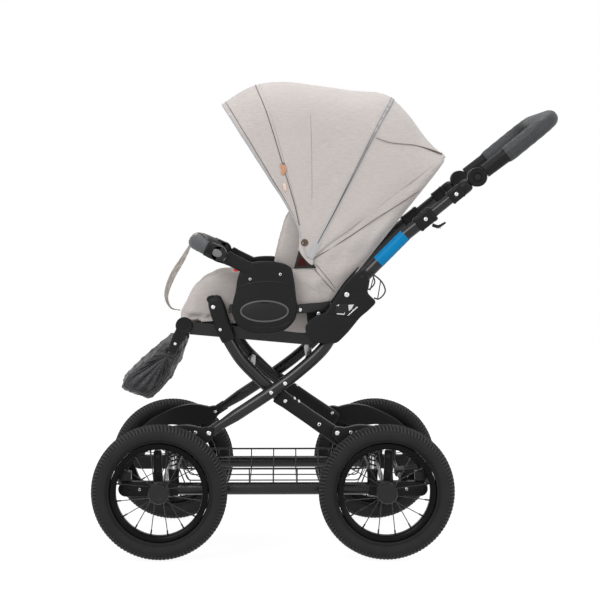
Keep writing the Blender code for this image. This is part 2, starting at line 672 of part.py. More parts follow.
def make_basket():
    """The wire tray: a rim with rounded corners, U-shaped cross wires, floor wires and hooks."""
    w, x0, x1 = BASKET_HALF_WIDTH, BASKET_START_X, BASKET_END_X
    corner, drop = BASKET_CORNER, BASKET_SIDE_DROP
    rim = []
    for cx, cy, start in ((x1 - corner, w - corner, 0), (x0 + corner, w - corner, 90),
                          (x0 + corner, -w + corner, 180), (x1 - corner, -w + corner, 270)):
        for a in np.radians(start + np.arange(0, 91, 45)):
            rim.append((cx + corner * math.cos(a), cy + corner * math.sin(a), BASKET_RIM_Z))
    rim = np.array(rim)
    tangent = np.roll(rim, -1, 0) - np.roll(rim, 1, 0)
    tangent /= np.linalg.norm(tangent, axis=1)[:, None]
    side = np.cross(tangent, (0, 0, 1))
    ring = circle(BASKET_WIRE, 5)
    rings = [[p + a * s + np.array((0, 0, b)) for a, b in ring] for p, s in zip(rim, side)]
    tray = skin("basket", np.array(rings), FRAME_PAINT, closed_path=True)
    parts = []
    wire = BASKET_WIRE * 0.7
    count = int((x1 - x0 - 2 * corner) / BASKET_PITCH) + 1
    start = (x0 + x1 - (count - 1) * BASKET_PITCH) / 2
    for k in range(count):
        x = start + k * BASKET_PITCH
        shape = [(x, -w, BASKET_RIM_Z), (x, -w + drop, BASKET_FLOOR_Z), (x, w - drop, BASKET_FLOOR_Z),
                 (x, w, BASKET_RIM_Z)]
        parts.append(tube("cross_wire", bent_path(shape, (BASKET_WIRE_BEND,) * 2, 1), wire, FRAME_PAINT, 3))
    for y in np.linspace(-w + 2 * drop, w - 2 * drop, 4):
        shape = [(x0, y, BASKET_RIM_Z), (x0 + drop, y, BASKET_FLOOR_Z + wire),
                 (x1 - drop, y, BASKET_FLOOR_Z + wire), (x1, y, BASKET_RIM_Z)]
        parts.append(tube("floor_wire", bent_path(shape, (BASKET_WIRE_BEND,) * 2, 1), wire, FRAME_PAINT, 3))
    rest_z = AXLE_Z + RAIL_RADIUS + wire + GAP - HOOK_SETTLE
    for x in (start + BASKET_PITCH / 2, start + (count - 1.5) * BASKET_PITCH):
        for turn in (-1, 1):
            shape = [(x, turn * w, BASKET_RIM_Z), (x, turn * (RAIL_Y - HOOK_REACH), BASKET_RIM_Z),
                     (x, turn * RAIL_Y, rest_z)]
            parts.append(tube("hook", bent_path(shape, (HOOK_BEND,), 1), wire, FRAME_PAINT, 3))
    return combine(tray, parts, "UNION")


def make_lower_frame():
    rail = make_rail()
    front, rear = front_hoop(), rear_hoop()
    spring_x = FRONT_AXLE_X + SPRING_OFFSET
    springs = [coil_spring("spring_front_near", spring_x, SPRING_TOP_Z),
               coil_spring("spring_rear_near", 2 * MIDDLE_X - spring_x, SPRING_TOP_Z)]
    mirrored_far(rail, "rail_far")
    mirrored_far(front, "hoop_front_far")
    mirrored_far(rear, "hoop_rear_far")
    for spring in springs:
        mirrored_far(spring, spring.name.replace("near", "far"))
    for name, x in (("front_axle", FRONT_AXLE_X), ("rear_axle", REAR_AXLE_X)):
        reach = TRACK_HALF + HUB_LENGTH / 2 - 0.002
        pin(name, x, AXLE_Z, -reach, reach, AXLE_RADIUS, BARE_STEEL, 12)
    make_basket()


def make_brake():
    """The rear brake: a cross bar in the two castings with a foot pedal in its middle."""
    x, z = BRAKE_AXIS
    reach = RAIL_Y - CAST_WIDTH / 2 - GAP
    bar = pin("brake_bar", x, z, -reach, reach, BRAKE_RADIUS, PLASTIC, 10)
    pedal = [(x + dx, z + dz) for dx, dz in PEDAL_OUTLINE]
    parts = [slab("pedal", pedal, -PEDAL_HALF_WIDTH, PEDAL_HALF_WIDTH, PLASTIC, 0.002)]
    arm = [(x + dx, z + dz) for dx, dz in BRAKE_ARM_OUTLINE]
    for turn in (-1, 1):
        ends = (turn * reach, turn * (reach - BRAKE_ARM_THICKNESS))
        parts.append(slab("arm", arm, min(ends), max(ends), PLASTIC))
    bar = combine(bar, parts, "UNION")
    carry(joint_frame("brake_hinge", (x, 0, z)), [bar])


def rounded_section(half_side, half_up, corner, steps=2):
    """A rectangle with rounded corners, as a tube's section."""
    out = []
    for sx, sy, start in ((1, 1, 0), (-1, 1, 90), (-1, -1, 180), (1, -1, 270)):
        for k in range(steps + 1):
            a = math.radians(start + 90 * k / steps)
            out.append((sx * (half_side - corner) + corner * math.cos(a),
                        sy * (half_up - corner) + corner * math.sin(a)))
    return np.array(out)


def along(start, end, distance):
    """The point at a distance from start towards end."""
    a, b = np.array(start, float), np.array(end, float)
    return tuple(a + (b - a) / np.linalg.norm(b - a) * distance)


def outer_leg():
    """The leg from the front arm's fork up to the rear bracket, with its flat eye."""
    x, z = FRONT_PIVOT
    start = along(FRONT_PIVOT, OUTER_LEG[0], EYE_RADIUS + 0.006)
    path = smooth_points([start] + list(OUTER_LEG), 2)
    leg = tube("outer_leg_near", in_plane(path, -OUTER_LEG_Y), LEG_RADIUS, FRAME_PAINT)
    y0, y1 = -OUTER_LEG_Y - EYE_THICKNESS / 2, -OUTER_LEG_Y + EYE_THICKNESS / 2
    tongue_end = along(FRONT_PIVOT, OUTER_LEG[0], EYE_RADIUS + 0.012)
    tongue = slab("tongue", band_outline([FRONT_PIVOT, tongue_end], [EYE_RADIUS - 0.0005] * 2, 2),
                  y0, y1, FRAME_PAINT)
    eye = pin("eye", x, z, y0, y1, EYE_RADIUS, FRAME_PAINT, 20)
    leg = combine(leg, [tongue, eye], "UNION")
    return combine(leg, [pin("bore", x, z, y0 - 0.01, y1 + 0.01, PIVOT_BOLT_RADIUS + GAP, PLASTIC, 10)],
                   "DIFFERENCE")


def inner_leg():
    leg_path = smooth_points(INNER_LEG, 2)
    return tube("inner_leg_near", in_plane(leg_path, -INNER_LEG_Y), LEG_RADIUS, FRAME_PAINT)


def socket_cut(sleeve, path, y):
    """Bores the sleeve for the tube that follows the path."""
    cutter = tube("cutter", in_plane(path, y), LEG_RADIUS + GAP, PLASTIC)
    return combine(sleeve, [cutter], "DIFFERENCE")


def lower_sleeve():
    """The plastic sleeve at the foot of the inner leg, hung on the rear arm's pin."""
    top = INNER_LEG[0]
    away = along(REAR_PIVOT, top, np.hypot(top[0] - REAR_PIVOT[0], top[1] - REAR_PIVOT[1]) + 0.018)
    foot = along(REAR_PIVOT, top, -0.014)
    section = rounded_section(0.0180, SLEEVE_HALF, 0.009)
    sleeve = skin("inner_lower_sleeve_near", sweep(in_plane([foot, away], -INNER_LEG_Y), section),
                  PLASTIC)
    path = smooth_points(INNER_LEG, 2)
    first = np.array(INNER_LEG[0])
    back = np.array(along(first, path[1], -GAP))
    sleeve = socket_cut(sleeve, [back] + list(path[1:]), -INNER_LEG_Y)
    x, z = REAR_PIVOT
    bore = pin("bore", x, z, -INNER_LEG_Y - 0.03, -INNER_LEG_Y + 0.03, PIVOT_BOLT_RADIUS + GAP,
               PLASTIC, 10)
    return combine(sleeve, [bore], "DIFFERENCE")


def top_sleeve():
    """The swollen cap on top of the inner leg, which the spreader bar is pinned to."""
    line = smooth_points(TOP_SLEEVE, 2)
    widths = np.interp(np.linspace(0, 1, len(line)), (0.0, 0.25, 0.7, 0.93, 1.0),
                       (0.0165, 0.0185, 0.0185, 0.0150, 0.0080))
    sections = [rounded_section(w, min(SLEEVE_HALF, w), min(0.008, w * 0.7)) for w in widths]
    sleeve = skin("inner_top_sleeve_near",
                  sweep(in_plane(line, -INNER_LEG_Y), lambda k: sections[k]), PLASTIC)
    path = list(smooth_points(INNER_LEG, 2))
    path[-1] = np.array(along(path[-2], path[-1], np.linalg.norm(path[-1] - path[-2]) + GAP))
    return socket_cut(sleeve, path, -INNER_LEG_Y)


def rear_bracket():
    """The moulded joint between outer leg and handle: housing, upper cheek and latch window."""
    y0, y1 = -BRACKET_Y - BRACKET_THICKNESS / 2, -BRACKET_Y + BRACKET_THICKNESS / 2
    body = slab("rear_bracket_near", BRACKET_OUTLINE, y0, y1, PLASTIC, 0.006)
    path = smooth_points(list(OUTER_LEG), 2)
    cutter = tube("cutter", in_plane(list(path[:-1]) + [np.array(along(
        path[-2], path[-1], np.linalg.norm(path[-1] - path[-2]) + GAP))], -OUTER_LEG_Y),
        LEG_RADIUS + GAP, PLASTIC)
    body = combine(body, [cutter], "DIFFERENCE")
    x, z = BRACKET_PIVOT
    sweep_out = HANDLE_RADIUS + BOLT_HEAD
    outline = [(x - sweep_out, z - sweep_out * 1.2), (x + sweep_out * 1.25, z - sweep_out),
               (x + 0.10, z + 0.07), (x + 0.02, z + 0.12), (x - 0.10, z + 0.08),
               (x - 0.06, z + 0.0)]
    slot = slab("slot", outline, -HANDLE_Y - sweep_out, -HANDLE_Y + 2 * sweep_out, PLASTIC)
    body = combine(body, [slot], "DIFFERENCE")
    bolt = pin("bolt", x, z, y0 - BOLT_HEAD, y1 - 2 * BOLT_HEAD, PIVOT_BOLT_RADIUS, PLASTIC, 10)
    return combine(body, [bolt], "UNION")


def wire_loop():
    """The D-shaped wire hook behind the rear bracket, with its two cross wires."""
    y = -WIRE_LOOP_Y
    loop = tube("wire_loop_near", in_plane(smooth_points(WIRE_LOOP, 2), y), 0.0016, FRAME_PAINT, 5)
    bars = [tube("bar", in_plane(pair, y), 0.0012, FRAME_PAINT, 5) for pair in WIRE_LOOP_BARS]
    return combine(loop, bars, "UNION")


def spreader_bar():
    """The flat bar between the inner leg's top and the rear bracket, with the seat adaptor."""
    z0, z1 = SPREADER_Z - SPREADER_HEIGHT / 2, SPREADER_Z + SPREADER_HEIGHT / 2
    y0, y1 = -SPREADER_Y - SPREADER_THICKNESS / 2, -SPREADER_Y + SPREADER_THICKNESS / 2
    outline = [(SPREADER_FRONT_X, z0), (SPREADER_REAR[0] + 0.006, z0 - 0.006),
               (SPREADER_REAR[0] + 0.012, SPREADER_REAR[1]), (SPREADER_REAR[0] + 0.004, z1),
               (SPREADER_FRONT_X + 0.004, z1)]
    bar = slab("spreader_bar_near", outline, y0, y1, FRAME_PAINT, 0.001)
    x, z = SEAT_BOSS
    top = z - BOSS_RADIUS - GAP
    block = [(x - 0.034, z1 - 0.004), (x + 0.034, z1 - 0.004), (x + 0.026, top), (x - 0.026, top)]
    adaptor = slab("adaptor", block, y0, y1 + 0.006, PLASTIC, 0.001)
    return combine(bar, [adaptor], "UNION")


def make_cross_frame():
    outer, bracket, loop = outer_leg(), rear_bracket(), wire_loop()
    inner, low, top = inner_leg(), lower_sleeve(), top_sleeve()
    bar = spreader_bar()
    outer_all = [outer, bracket, loop] + [mirrored_far(o, o.name.replace("near", "far"))
                                          for o in (outer, bracket, loop)]
    inner_all = [inner, low, top] + [mirrored_far(o, o.name.replace("near", "far"))
                                     for o in (inner, low, top)]
    bars = [bar, mirrored_far(bar, "spreader_bar_far")]
    x, z = OUTER_CROSS
    reach = OUTER_LEG_Y - LEG_RADIUS - GAP
    outer_all.append(pin("outer_cross_tube", x, z, -reach, reach, CROSS_RADIUS, FRAME_PAINT, 10))
    x, z = INNER_CROSS
    reach = INNER_LEG_Y - LEG_RADIUS - GAP
    inner_all.append(pin("inner_cross_tube", x, z, -reach, reach, CROSS_RADIUS, FRAME_PAINT, 10))
    carry(joint_frame("frame_fold", (FRONT_PIVOT[0], 0, FRONT_PIVOT[1])), outer_all)
    carry(joint_frame("inner_fold", (REAR_PIVOT[0], 0, REAR_PIVOT[1])), inner_all)
    carry(joint_frame("spreader_fold", (SPREADER_REAR[0], 0, SPREADER_REAR[1])), bars)


def handle_tube():
    """Lower tube with its bend, the two clamps and the thinner upper tube."""
    start = along(BRACKET_PIVOT, HANDLE_BEND, -0.004)
    low = bent_path([start, HANDLE_BEND, CLAMP_POINT], (0.06,), 3)
    path = in_plane(low, -HANDLE_Y)
    body = tube("handle_tube_near", path, HANDLE_RADIUS, FRAME_PAINT)
    stop = along(TILT_CENTRE, SECOND_CLAMP_POINT, TILT_RADIUS + GAP)
    upper = [CLAMP_POINT, SECOND_CLAMP_POINT, stop]
    parts = [tube("upper", in_plane(upper, -HANDLE_Y), HANDLE_UPPER_RADIUS, FRAME_PAINT)]
    for point, before, reach, half in ((CLAMP_POINT, HANDLE_BEND, 0.024, 0.0185),
                                       (SECOND_CLAMP_POINT, CLAMP_POINT, 0.017, 0.0165)):
        a, b = along(point, before, reach), along(point, before, -reach)
        section = rounded_section(half, half, 0.006, 2)
        parts.append(skin("clamp", sweep(in_plane([a, b], -HANDLE_Y), section), PLASTIC))
    body = combine(body, parts, "UNION")
    x, z = BRACKET_PIVOT
    bore = pin("bore", x, z, -HANDLE_Y - 0.03, -HANDLE_Y + 0.03, PIVOT_BOLT_RADIUS + GAP,
               PLASTIC, 10)
    return combine(body, [bore], "DIFFERENCE")


def tilt_disc():
    x, z = TILT_CENTRE
    half = TILT_THICKNESS / 2
    profile = [(0.004, -half), (TILT_RADIUS - 0.003, -half), (TILT_RADIUS, -half + 0.003),
               (TILT_RADIUS, half - 0.003), (TILT_RADIUS - 0.003, half), (0.004, half)]
    return turned("tilt_disc_near", profile, (x, -HANDLE_Y, z), PLASTIC, 20)


def handle_grip():
    """The U-shaped grip: an arm from each disc and the padded cross bar."""
    start = along(TILT_CENTRE, GRIP_START, TILT_RADIUS + GAP)
    y = HANDLE_Y
    corners = [(start[0], -y, start[1]), (GRIP_START[0], -y, GRIP_START[1]),
               (GRIP_END[0], -y, GRIP_END[1]), (GRIP_END[0], y, GRIP_END[1]),
               (GRIP_START[0], y, GRIP_START[1]), (start[0], y, start[1])]
    path = bent_path(corners, (0.2, GRIP_CORNER, GRIP_CORNER, 0.2), 4)
    length = np.concatenate([[0], np.cumsum(np.linalg.norm(np.diff(path, axis=0), axis=1))])
    from_end = np.minimum(length, length[-1] - length)
    neck = np.hypot(GRIP_START[0] - start[0], GRIP_START[1] - start[1])
    radii = np.where(from_end < neck * 0.9, 0.0165, GRIP_RADIUS)
    return skin("handle_grip", sweep(path, lambda k: circle(radii[k], 10)), LEATHERETTE)


def handle_lever():
    """The fold release under the near tube's clamp."""
    x, z = LEVER_PIVOT
    outline = band_outline([(x, z), (x + 0.014, z - 0.003), (x + 0.030, z + 0.006)],
                           [0.0045, 0.0050, 0.0030], 3)
    return slab("handle_lever", outline, -HANDLE_Y - 0.007, -HANDLE_Y + 0.007, PLASTIC, 0.001)


def make_handle():
    near = handle_tube()
    disc = tilt_disc()
    lever = handle_lever()
    tubes = [near, mirrored_far(near, "handle_tube_far"), lever]
    grip = [disc, mirrored_far(disc, "tilt_disc_far"), handle_grip()]
    carry(joint_frame("handle_fold", (BRACKET_PIVOT[0], 0, BRACKET_PIVOT[1])), tubes)
    carry(joint_frame("handle_tilt", (TILT_CENTRE[0], 0, TILT_CENTRE[1])), grip)


def closed_curve(points, per_span=2):
    """A smooth closed outline through the points."""
    pts = np.array(points, float)
    loop = np.vstack([pts[-1], pts, pts[0], pts[1]])
    return smooth_points(loop, per_span)[per_span:-per_span - 1]


def oval(centre, half_x, half_z, steps=20):
    turn = 2 * math.pi * np.arange(steps) / steps
    return np.column_stack([centre[0] + half_x * np.cos(turn), centre[1] + half_z * np.sin(turn)])


def seat_housing():
    """The egg-shaped cover of the seat's joint, with its raised oval rim and bumper socket."""
    y0, y1 = -HOUSING_Y - HOUSING_THICKNESS / 2, -HOUSING_Y + HOUSING_THICKNESS / 2
    body = slab("seat_housing_near", closed_curve(HOUSING_OUTLINE, 1), y0, y1, PLASTIC, 0.005)
    ring = slab("ring", oval(BADGE_CENTRE, BADGE_HALF[0], BADGE_HALF[1]), y0 - 0.0015, y0 + 0.003,
                PLASTIC)
    dish = slab("dish", oval(BADGE_CENTRE, BADGE_HALF[0] - 0.004, BADGE_HALF[1] - 0.004),
                y0 - 0.01, y0 - 0.0004, PLASTIC)
    ring = combine(ring, [dish], "DIFFERENCE")
    x, z = SEAT_BOSS
    inner_end = -RAIL_PLATE_Y - RAIL_PLATE_THICKNESS / 2 - GAP
    boss = pin("boss", x, z, y1 - 0.002, inner_end, BOSS_RADIUS, PLASTIC, 12)
    socket_end = along(BUMPER_JOINT, SOCKET_ROOT, BUMPER_EYE_RADIUS + GAP)
    root = along(SOCKET_ROOT, BUMPER_JOINT, -0.012)
    socket = tube("socket", in_plane([root, SOCKET_ROOT, socket_end], -HOUSING_Y),
                  HOUSING_THICKNESS / 2 + 0.004, PLASTIC)
    return combine(body, [ring, boss, socket], "UNION")


def seat_slope(x):
    """The height of the seat rail's middle line."""
    share = (x - SEAT_FRONT[0]) / (SEAT_REAR[0] - SEAT_FRONT[0])
    return SEAT_FRONT[1] + share * (SEAT_REAR[1] - SEAT_FRONT[1])


def seat_frame():
    """Two flat side rails with ears for the housings, eyes front and rear, and the pan."""
    half = RAIL_PLATE_HEIGHT / 2
    y0, y1 = -RAIL_PLATE_Y - RAIL_PLATE_THICKNESS / 2, -RAIL_PLATE_Y + RAIL_PLATE_THICKNESS / 2
    parts = []
    for turn in (-1, 1):
        lo, hi = (y0, y1) if turn < 0 else (-y1, -y0)
        rail = [(SEAT_FRONT[0] - 0.006, SEAT_FRONT[1] - half), (SEAT_REAR[0], SEAT_REAR[1] - half),
                (SEAT_REAR[0] + 0.006, SEAT_REAR[1] + half * 0.6),
                (SEAT_REAR[0] - 0.012, SEAT_REAR[1] + half), (SEAT_FRONT[0], SEAT_FRONT[1] + half)]
        parts.append(slab("rail", rail, lo, hi, FRAME_PAINT))
        x, z = SEAT_BOSS
        ear = [(x - 0.032, seat_slope(x) + half * 0.5), (x + 0.032, seat_slope(x) + half * 0.5),
               (x + 0.018, z + 0.004), (x + 0.010, z + 0.015), (x - 0.010, z + 0.015),
               (x - 0.018, z + 0.004)]
        parts.append(slab("ear", ear, lo, hi, FRAME_PAINT))
        parts.append(pin("rear_eye", *RECLINE_AXIS, lo, hi, RECLINE_EYE_RADIUS, FRAME_PAINT, 10))
        parts.append(pin("front_eye", *FOOT_AXIS, lo, hi, FOOT_EYE_RADIUS, FRAME_PAINT, 10))
        outer_end = turn * (SIDE_PLATE_Y + SIDE_PLATE_THICKNESS / 2)
        start = turn * RAIL_PLATE_Y
        parts.append(pin("recline_pin", *RECLINE_AXIS, min(start, outer_end),
                         max(start, outer_end), RECLINE_PIN_RADIUS, FRAME_PAINT, 10))
    front, rear = PAN_START_X, SEAT_REAR[0] - 0.022
    pan = [(front, seat_slope(front) + half - 0.006), (rear, seat_slope(rear) + half - 0.006),
           (rear, seat_slope(rear) + half), (front, seat_slope(front) + half)]
    inner = RAIL_PLATE_Y
    frame = slab("seat_frame", pan, -inner, inner, FRAME_PAINT)
    frame = combine(frame, parts, "UNION")
    reach = RAIL_PLATE_Y + 0.02
    bores = [pin("bore", *FOOT_AXIS, -reach, reach, FOOT_ROD_RADIUS + GAP, PLASTIC, 12)]
    return combine(frame, bores, "DIFFERENCE")


def seat_cushion():
    """The padded seat: crowned middle with sides that rise along the hips."""
    stations = np.linspace(0.0, 1.0, 11)
    x = SEAT_PAD_FRONT_X + (SEAT_PAD_REAR_X - SEAT_PAD_FRONT_X) * stations**1.3
    side_top = np.interp(x, [p[0] for p in SEAT_SIDE_TOP], [p[1] for p in SEAT_SIDE_TOP])
    rings = []
    w, wall = SEAT_HALF_WIDTH, SEAT_SIDE_WALL
    for k, (px, top) in enumerate(zip(x, side_top)):
        base = seat_slope(px) + RAIL_PLATE_HEIGHT / 2 + GAP
        end = min(k, len(x) - 1 - k)
        draw = (0.010, 0.003, 0.0)[min(end, 2)]
        pad = base + SEAT_PAD_DEPTH - draw
        top = max(top - draw * 0.3, pad + 0.002)
        half = w - draw * 0.6
        side = [(half - 0.006, base), (half, base + 0.008), (half, top - 0.010),
                (half - wall / 2, top), (half - wall, top - 0.010), (half - wall - 0.004, pad - 0.004),
                (half * 0.55, pad + 0.002), (half * 0.22, pad + 0.006)]
        ring = [(y, z) for y, z in side] + [(-y, z) for y, z in side[::-1]]
        rings.append([(px, y, z) for y, z in ring])
    return skin("seat_cushion", np.array(rings), CLOTH, smooth=60.0)


def back_point(distance, depth, y):
    """A point of the backrest: distance up along it, depth forward of its rear face."""
    along_x, along_z = math.cos(BACK_ANGLE), math.sin(BACK_ANGLE)
    return (BACK_FOOT[0] + distance * along_x - depth * along_z, y,
            BACK_FOOT[1] + distance * along_z + depth * along_x)


def backrest_frame():
    """The back board and its two side plates, with the recline eyes and the hood's pins."""
    rings = []
    for distance, half in ((0.0, 0.120), (0.03, 0.145), (0.30, 0.145), (BACK_LENGTH - 0.02, 0.130),
                           (BACK_LENGTH, 0.105)):
        rings.append([back_point(distance, d, y) for d, y in
                      ((BOARD_DEPTH, -half), (BOARD_DEPTH, half), (BOARD_DEPTH + BOARD_THICKNESS, half),
                       (BOARD_DEPTH + BOARD_THICKNESS, -half))])
    board = skin("backrest_frame", np.array(rings), PLASTIC)
    parts = []
    y0 = SIDE_PLATE_Y - SIDE_PLATE_THICKNESS / 2
    y1 = SIDE_PLATE_Y + SIDE_PLATE_THICKNESS / 2
    for turn in (-1, 1):
        lo, hi = (-y1, -y0) if turn < 0 else (y0, y1)
        parts.append(slab("side_plate", SIDE_PLATE_OUTLINE, lo, hi, PLASTIC))
        parts.append(pin("recline_eye", *RECLINE_AXIS, lo, hi, RECLINE_EYE_RADIUS, PLASTIC, 10))
        parts.append(pin("hood_eye", *HOOD_CENTRE, lo, hi, HOOD_EYE_RADIUS, PLASTIC, 10))
        a, b = turn * SIDE_PLATE_Y, turn * (HOOD_HALF_WIDTH - HOOD_THICKNESS - GAP)
        parts.append(pin("hood_pin", *HOOD_CENTRE, min(a, b), max(a, b), HOOD_PIN_RADIUS, PLASTIC, 10))
    rib = [back_point(d, e, 0.0) for d, e in
           ((0.075, BOARD_DEPTH), (0.105, BOARD_DEPTH), (0.105, BOARD_DEPTH + BOARD_THICKNESS),
            (0.075, BOARD_DEPTH + BOARD_THICKNESS))]
    parts.append(slab("rib", [(p[0], p[2]) for p in rib], -SIDE_PLATE_Y, SIDE_PLATE_Y, PLASTIC))
    board = combine(board, parts, "UNION")
    bores = [pin("bore", *RECLINE_AXIS, -RAIL_Y, RAIL_Y, RECLINE_PIN_RADIUS + GAP, PLASTIC, 10)]
    return combine(board, bores, "DIFFERENCE")


def backrest_cushion():
    """The back pad with its side walls, which reach forward beside the child."""
    start = BOARD_DEPTH + BOARD_THICKNESS + GAP
    front = start + BACK_PAD_DEPTH
    rings = []
    for k, (distance, wing) in enumerate(BACK_WING):
        end = min(k, len(BACK_WING) - 1 - k)
        draw = BACK_END_DRAW[min(end, len(BACK_END_DRAW) - 1)]
        half = BACK_PAD_HALF - draw
        wall, lip, pad = BACK_WALL, BACK_WALL / 2, front - draw
        side = [(half - lip, start), (half, start + lip), (half, wing - lip), (half - lip, wing),
                (half - wall, wing - lip), (half - wall - 0.003, pad), (half * 0.55, pad + 0.003),
                (half * 0.22, pad + 0.006)]
        ring = [(y, d) for y, d in side] + [(-y, d) for y, d in side[::-1]]
        rings.append([back_point(distance, d, y) for y, d in ring])
    return skin("backrest_cushion", np.array(rings), CLOTH, smooth=60.0)


def bumper_bar():
    """The padded bumper bar, from the joint discs round the front, with its button pockets."""
    x, z = BUMPER_JOINT
    y = HOUSING_Y
    corners = [(x, -y, z), (BUMPER_FRONT_X, -y, BUMPER_FRONT_Z),
               (BUMPER_FRONT_X, y, BUMPER_FRONT_Z), (x, y, z)]
    path = bent_path(corners, (BUMPER_CORNER, BUMPER_CORNER), 4)
    bar = skin("bumper_bar", sweep(path, circle(BUMPER_RADIUS, TUBE_SIDES)), LEATHERETTE)
    half = HOUSING_THICKNESS / 2 + 0.004
    parts = [pin("eye", x, z, turn * y - half, turn * y + half, BUMPER_EYE_RADIUS, PLASTIC, 14)
             for turn in (-1, 1)]
    bar = combine(bar, parts, "UNION")
    pockets = [pin("pocket", x, z, min(a, b), max(a, b), BUTTON_RADIUS + GAP, PLASTIC, 12)
               for a, b in ((-y - half - 0.01, -y - half + BUTTON_POCKET),
                            (y + half + 0.01, y + half - BUTTON_POCKET))]
    return combine(bar, pockets, "DIFFERENCE")


def bumper_button():
    outer = -HOUSING_Y - HOUSING_THICKNESS / 2 - 0.004
    inner = outer + BUTTON_POCKET - BUTTON_TRAVEL - GAP
    return pin("bumper_button_near", *BUMPER_JOINT, outer - 0.002, inner, BUTTON_RADIUS,
               GREY_PLASTIC, 12)


def crotch_strap():
    """The webbing strap from the seat's front edge, bowed out and looped over the bar."""
    reach = BUMPER_RADIUS + STRAP_THICKNESS / 2 + STRAP_SLACK
    arc = [(BUMPER_FRONT_X + reach * math.cos(a), BUMPER_FRONT_Z + reach * math.sin(a))
           for a in np.radians(np.arange(20, 201, 22.5))]
    path = smooth_points(arc + list(STRAP_ROUTE), 2)
    half, thick = STRAP_WIDTH / 2, STRAP_THICKNESS / 2
    section = [(thick, -half), (thick, half), (-thick, half), (-thick, -half)]
    return skin("crotch_strap", sweep(in_plane(path, 0.0), section), WEBBING, smooth=60.0)


def footrest():
    """The hinge rod with its round side discs, and the soft cover round the foot board."""
    x, z = FOOT_AXIS
    inner = RAIL_PLATE_Y + RAIL_PLATE_THICKNESS / 2 + GAP
    outer = inner + FOOT_DISC_THICKNESS
    rod = pin("footrest_hinge", x, z, -inner - 0.002, inner + 0.002, FOOT_ROD_RADIUS, FRAME_PAINT, 10)
    parts = []
    for turn in (-1, 1):
        a, b = turn * inner, turn * outer
        parts.append(pin("disc", x, z, min(a, b), max(a, b), FOOT_HINGE_RADIUS, PLASTIC, 12))
        tongue = band_outline([(x + dx, z + dz) for dx, dz in FOOT_TONGUE], FOOT_TONGUE_HALVES, 2)
        parts.append(slab("tongue", tongue, min(a, b), max(a, b), PLASTIC))
    x2, z2 = x + FOOT_CROSS_ROD[0], z + FOOT_CROSS_ROD[1]
    parts.append(pin("cross_rod", x2, z2, -inner - 0.002, inner + 0.002, FOOT_CROSS_RADIUS, FRAME_PAINT, 10))
    hinge = combine(rod, parts, "UNION")
    rings = []
    outline = closed_curve(FOOT_COVER_OUTLINE, 2)
    middle = outline.mean(axis=0)
    for y, share in zip(np.linspace(-1, 1, 9), (0.80, 0.93, 0.98, 1.0, 0.97, 1.0, 0.98, 0.93, 0.80)):
        rings.append([(px, y * FOOT_COVER_HALF, pz) for px, pz in middle + (outline - middle) * share])
    cover = skin("footrest_cover", np.array(rings), DARK_CLOTH, smooth=60.0)
    reach, wide = FOOT_COVER_HALF + 0.05, FOOT_CROSS_RADIUS + GAP
    cut = pin("cut", x2, z2, -reach, reach, wide, PLASTIC, 10)
    notch = slab("notch", [(x2 - wide, z2), (x2 + wide, z2), (x2 + 6 * wide, z2 + 10 * wide),
                           (x2 - 6 * wide, z2 + 10 * wide)], -reach, reach, PLASTIC)
    cover = combine(cover, [cut, notch], "DIFFERENCE")
    return hinge, cover


def hood_radius(angle):
    """How far the hood's top lies from its centre at an angle in degrees."""
    return float(np.interp(angle, [a for a, r in HOOD_TOP], [r for a, r in HOOD_TOP]))


def hood_arch(radius, half, corner, start, steps=3):
    """A bow's line as (along Y, away from the centre): up one side, over and down."""
    side = [(-half, start), (-half, (start + radius - corner) / 2), (-half, radius - corner)]
    for a in np.radians(np.linspace(0, 90, steps + 1)[1:]):
        side.append((-half + corner - corner * math.cos(a), radius - corner + corner * math.sin(a)))
    side.append((-half * 0.2, radius + 0.002))
    return side + [(-y, r) for y, r in side[::-1]]


def hood_place(angle, y, r):
    a = math.radians(angle)
    return (HOOD_CENTRE[0] + r * math.cos(a), y, HOOD_CENTRE[1] + r * math.sin(a))


def hood_panel(name, first, last, steps):
    """A panel of the canopy as a thin closed shell between two bow angles."""
    outer, inner = [], []
    t = HOOD_THICKNESS
    for angle in np.linspace(first, last, steps + 1):
        radius = hood_radius(angle)
        arch = hood_arch(radius, HOOD_HALF_WIDTH, HOOD_CORNER, HOOD_START_RADIUS)
        under = hood_arch(radius - t, HOOD_HALF_WIDTH - t, HOOD_CORNER - t, HOOD_START_RADIUS)
        outer.append([hood_place(angle, y, r) for y, r in arch])
        inner.append([hood_place(angle, y, r) for y, r in under])
    outer, inner = np.array(outer), np.array(inner)
    rings = np.concatenate([outer, inner[:, ::-1]], axis=1)
    count, sides = rings.shape[:2]
    half = sides // 2
    faces = []
    for i in range(count - 1):
        for j in range(sides):
            k = (j + 1) % sides
            faces.append((i * sides + j, i * sides + k, (i + 1) * sides + k, (i + 1) * sides + j))
    for i in (0, count - 1):
        for j in range(half - 1):
            a, b = i * sides + j, i * sides + j + 1
            c, d = i * sides + sides - 2 - j, i * sides + sides - 1 - j
            faces.append((a, b, c, d))
    return finish_mesh(name, rings.reshape(-1, 3), faces, CLOTH, 60.0)


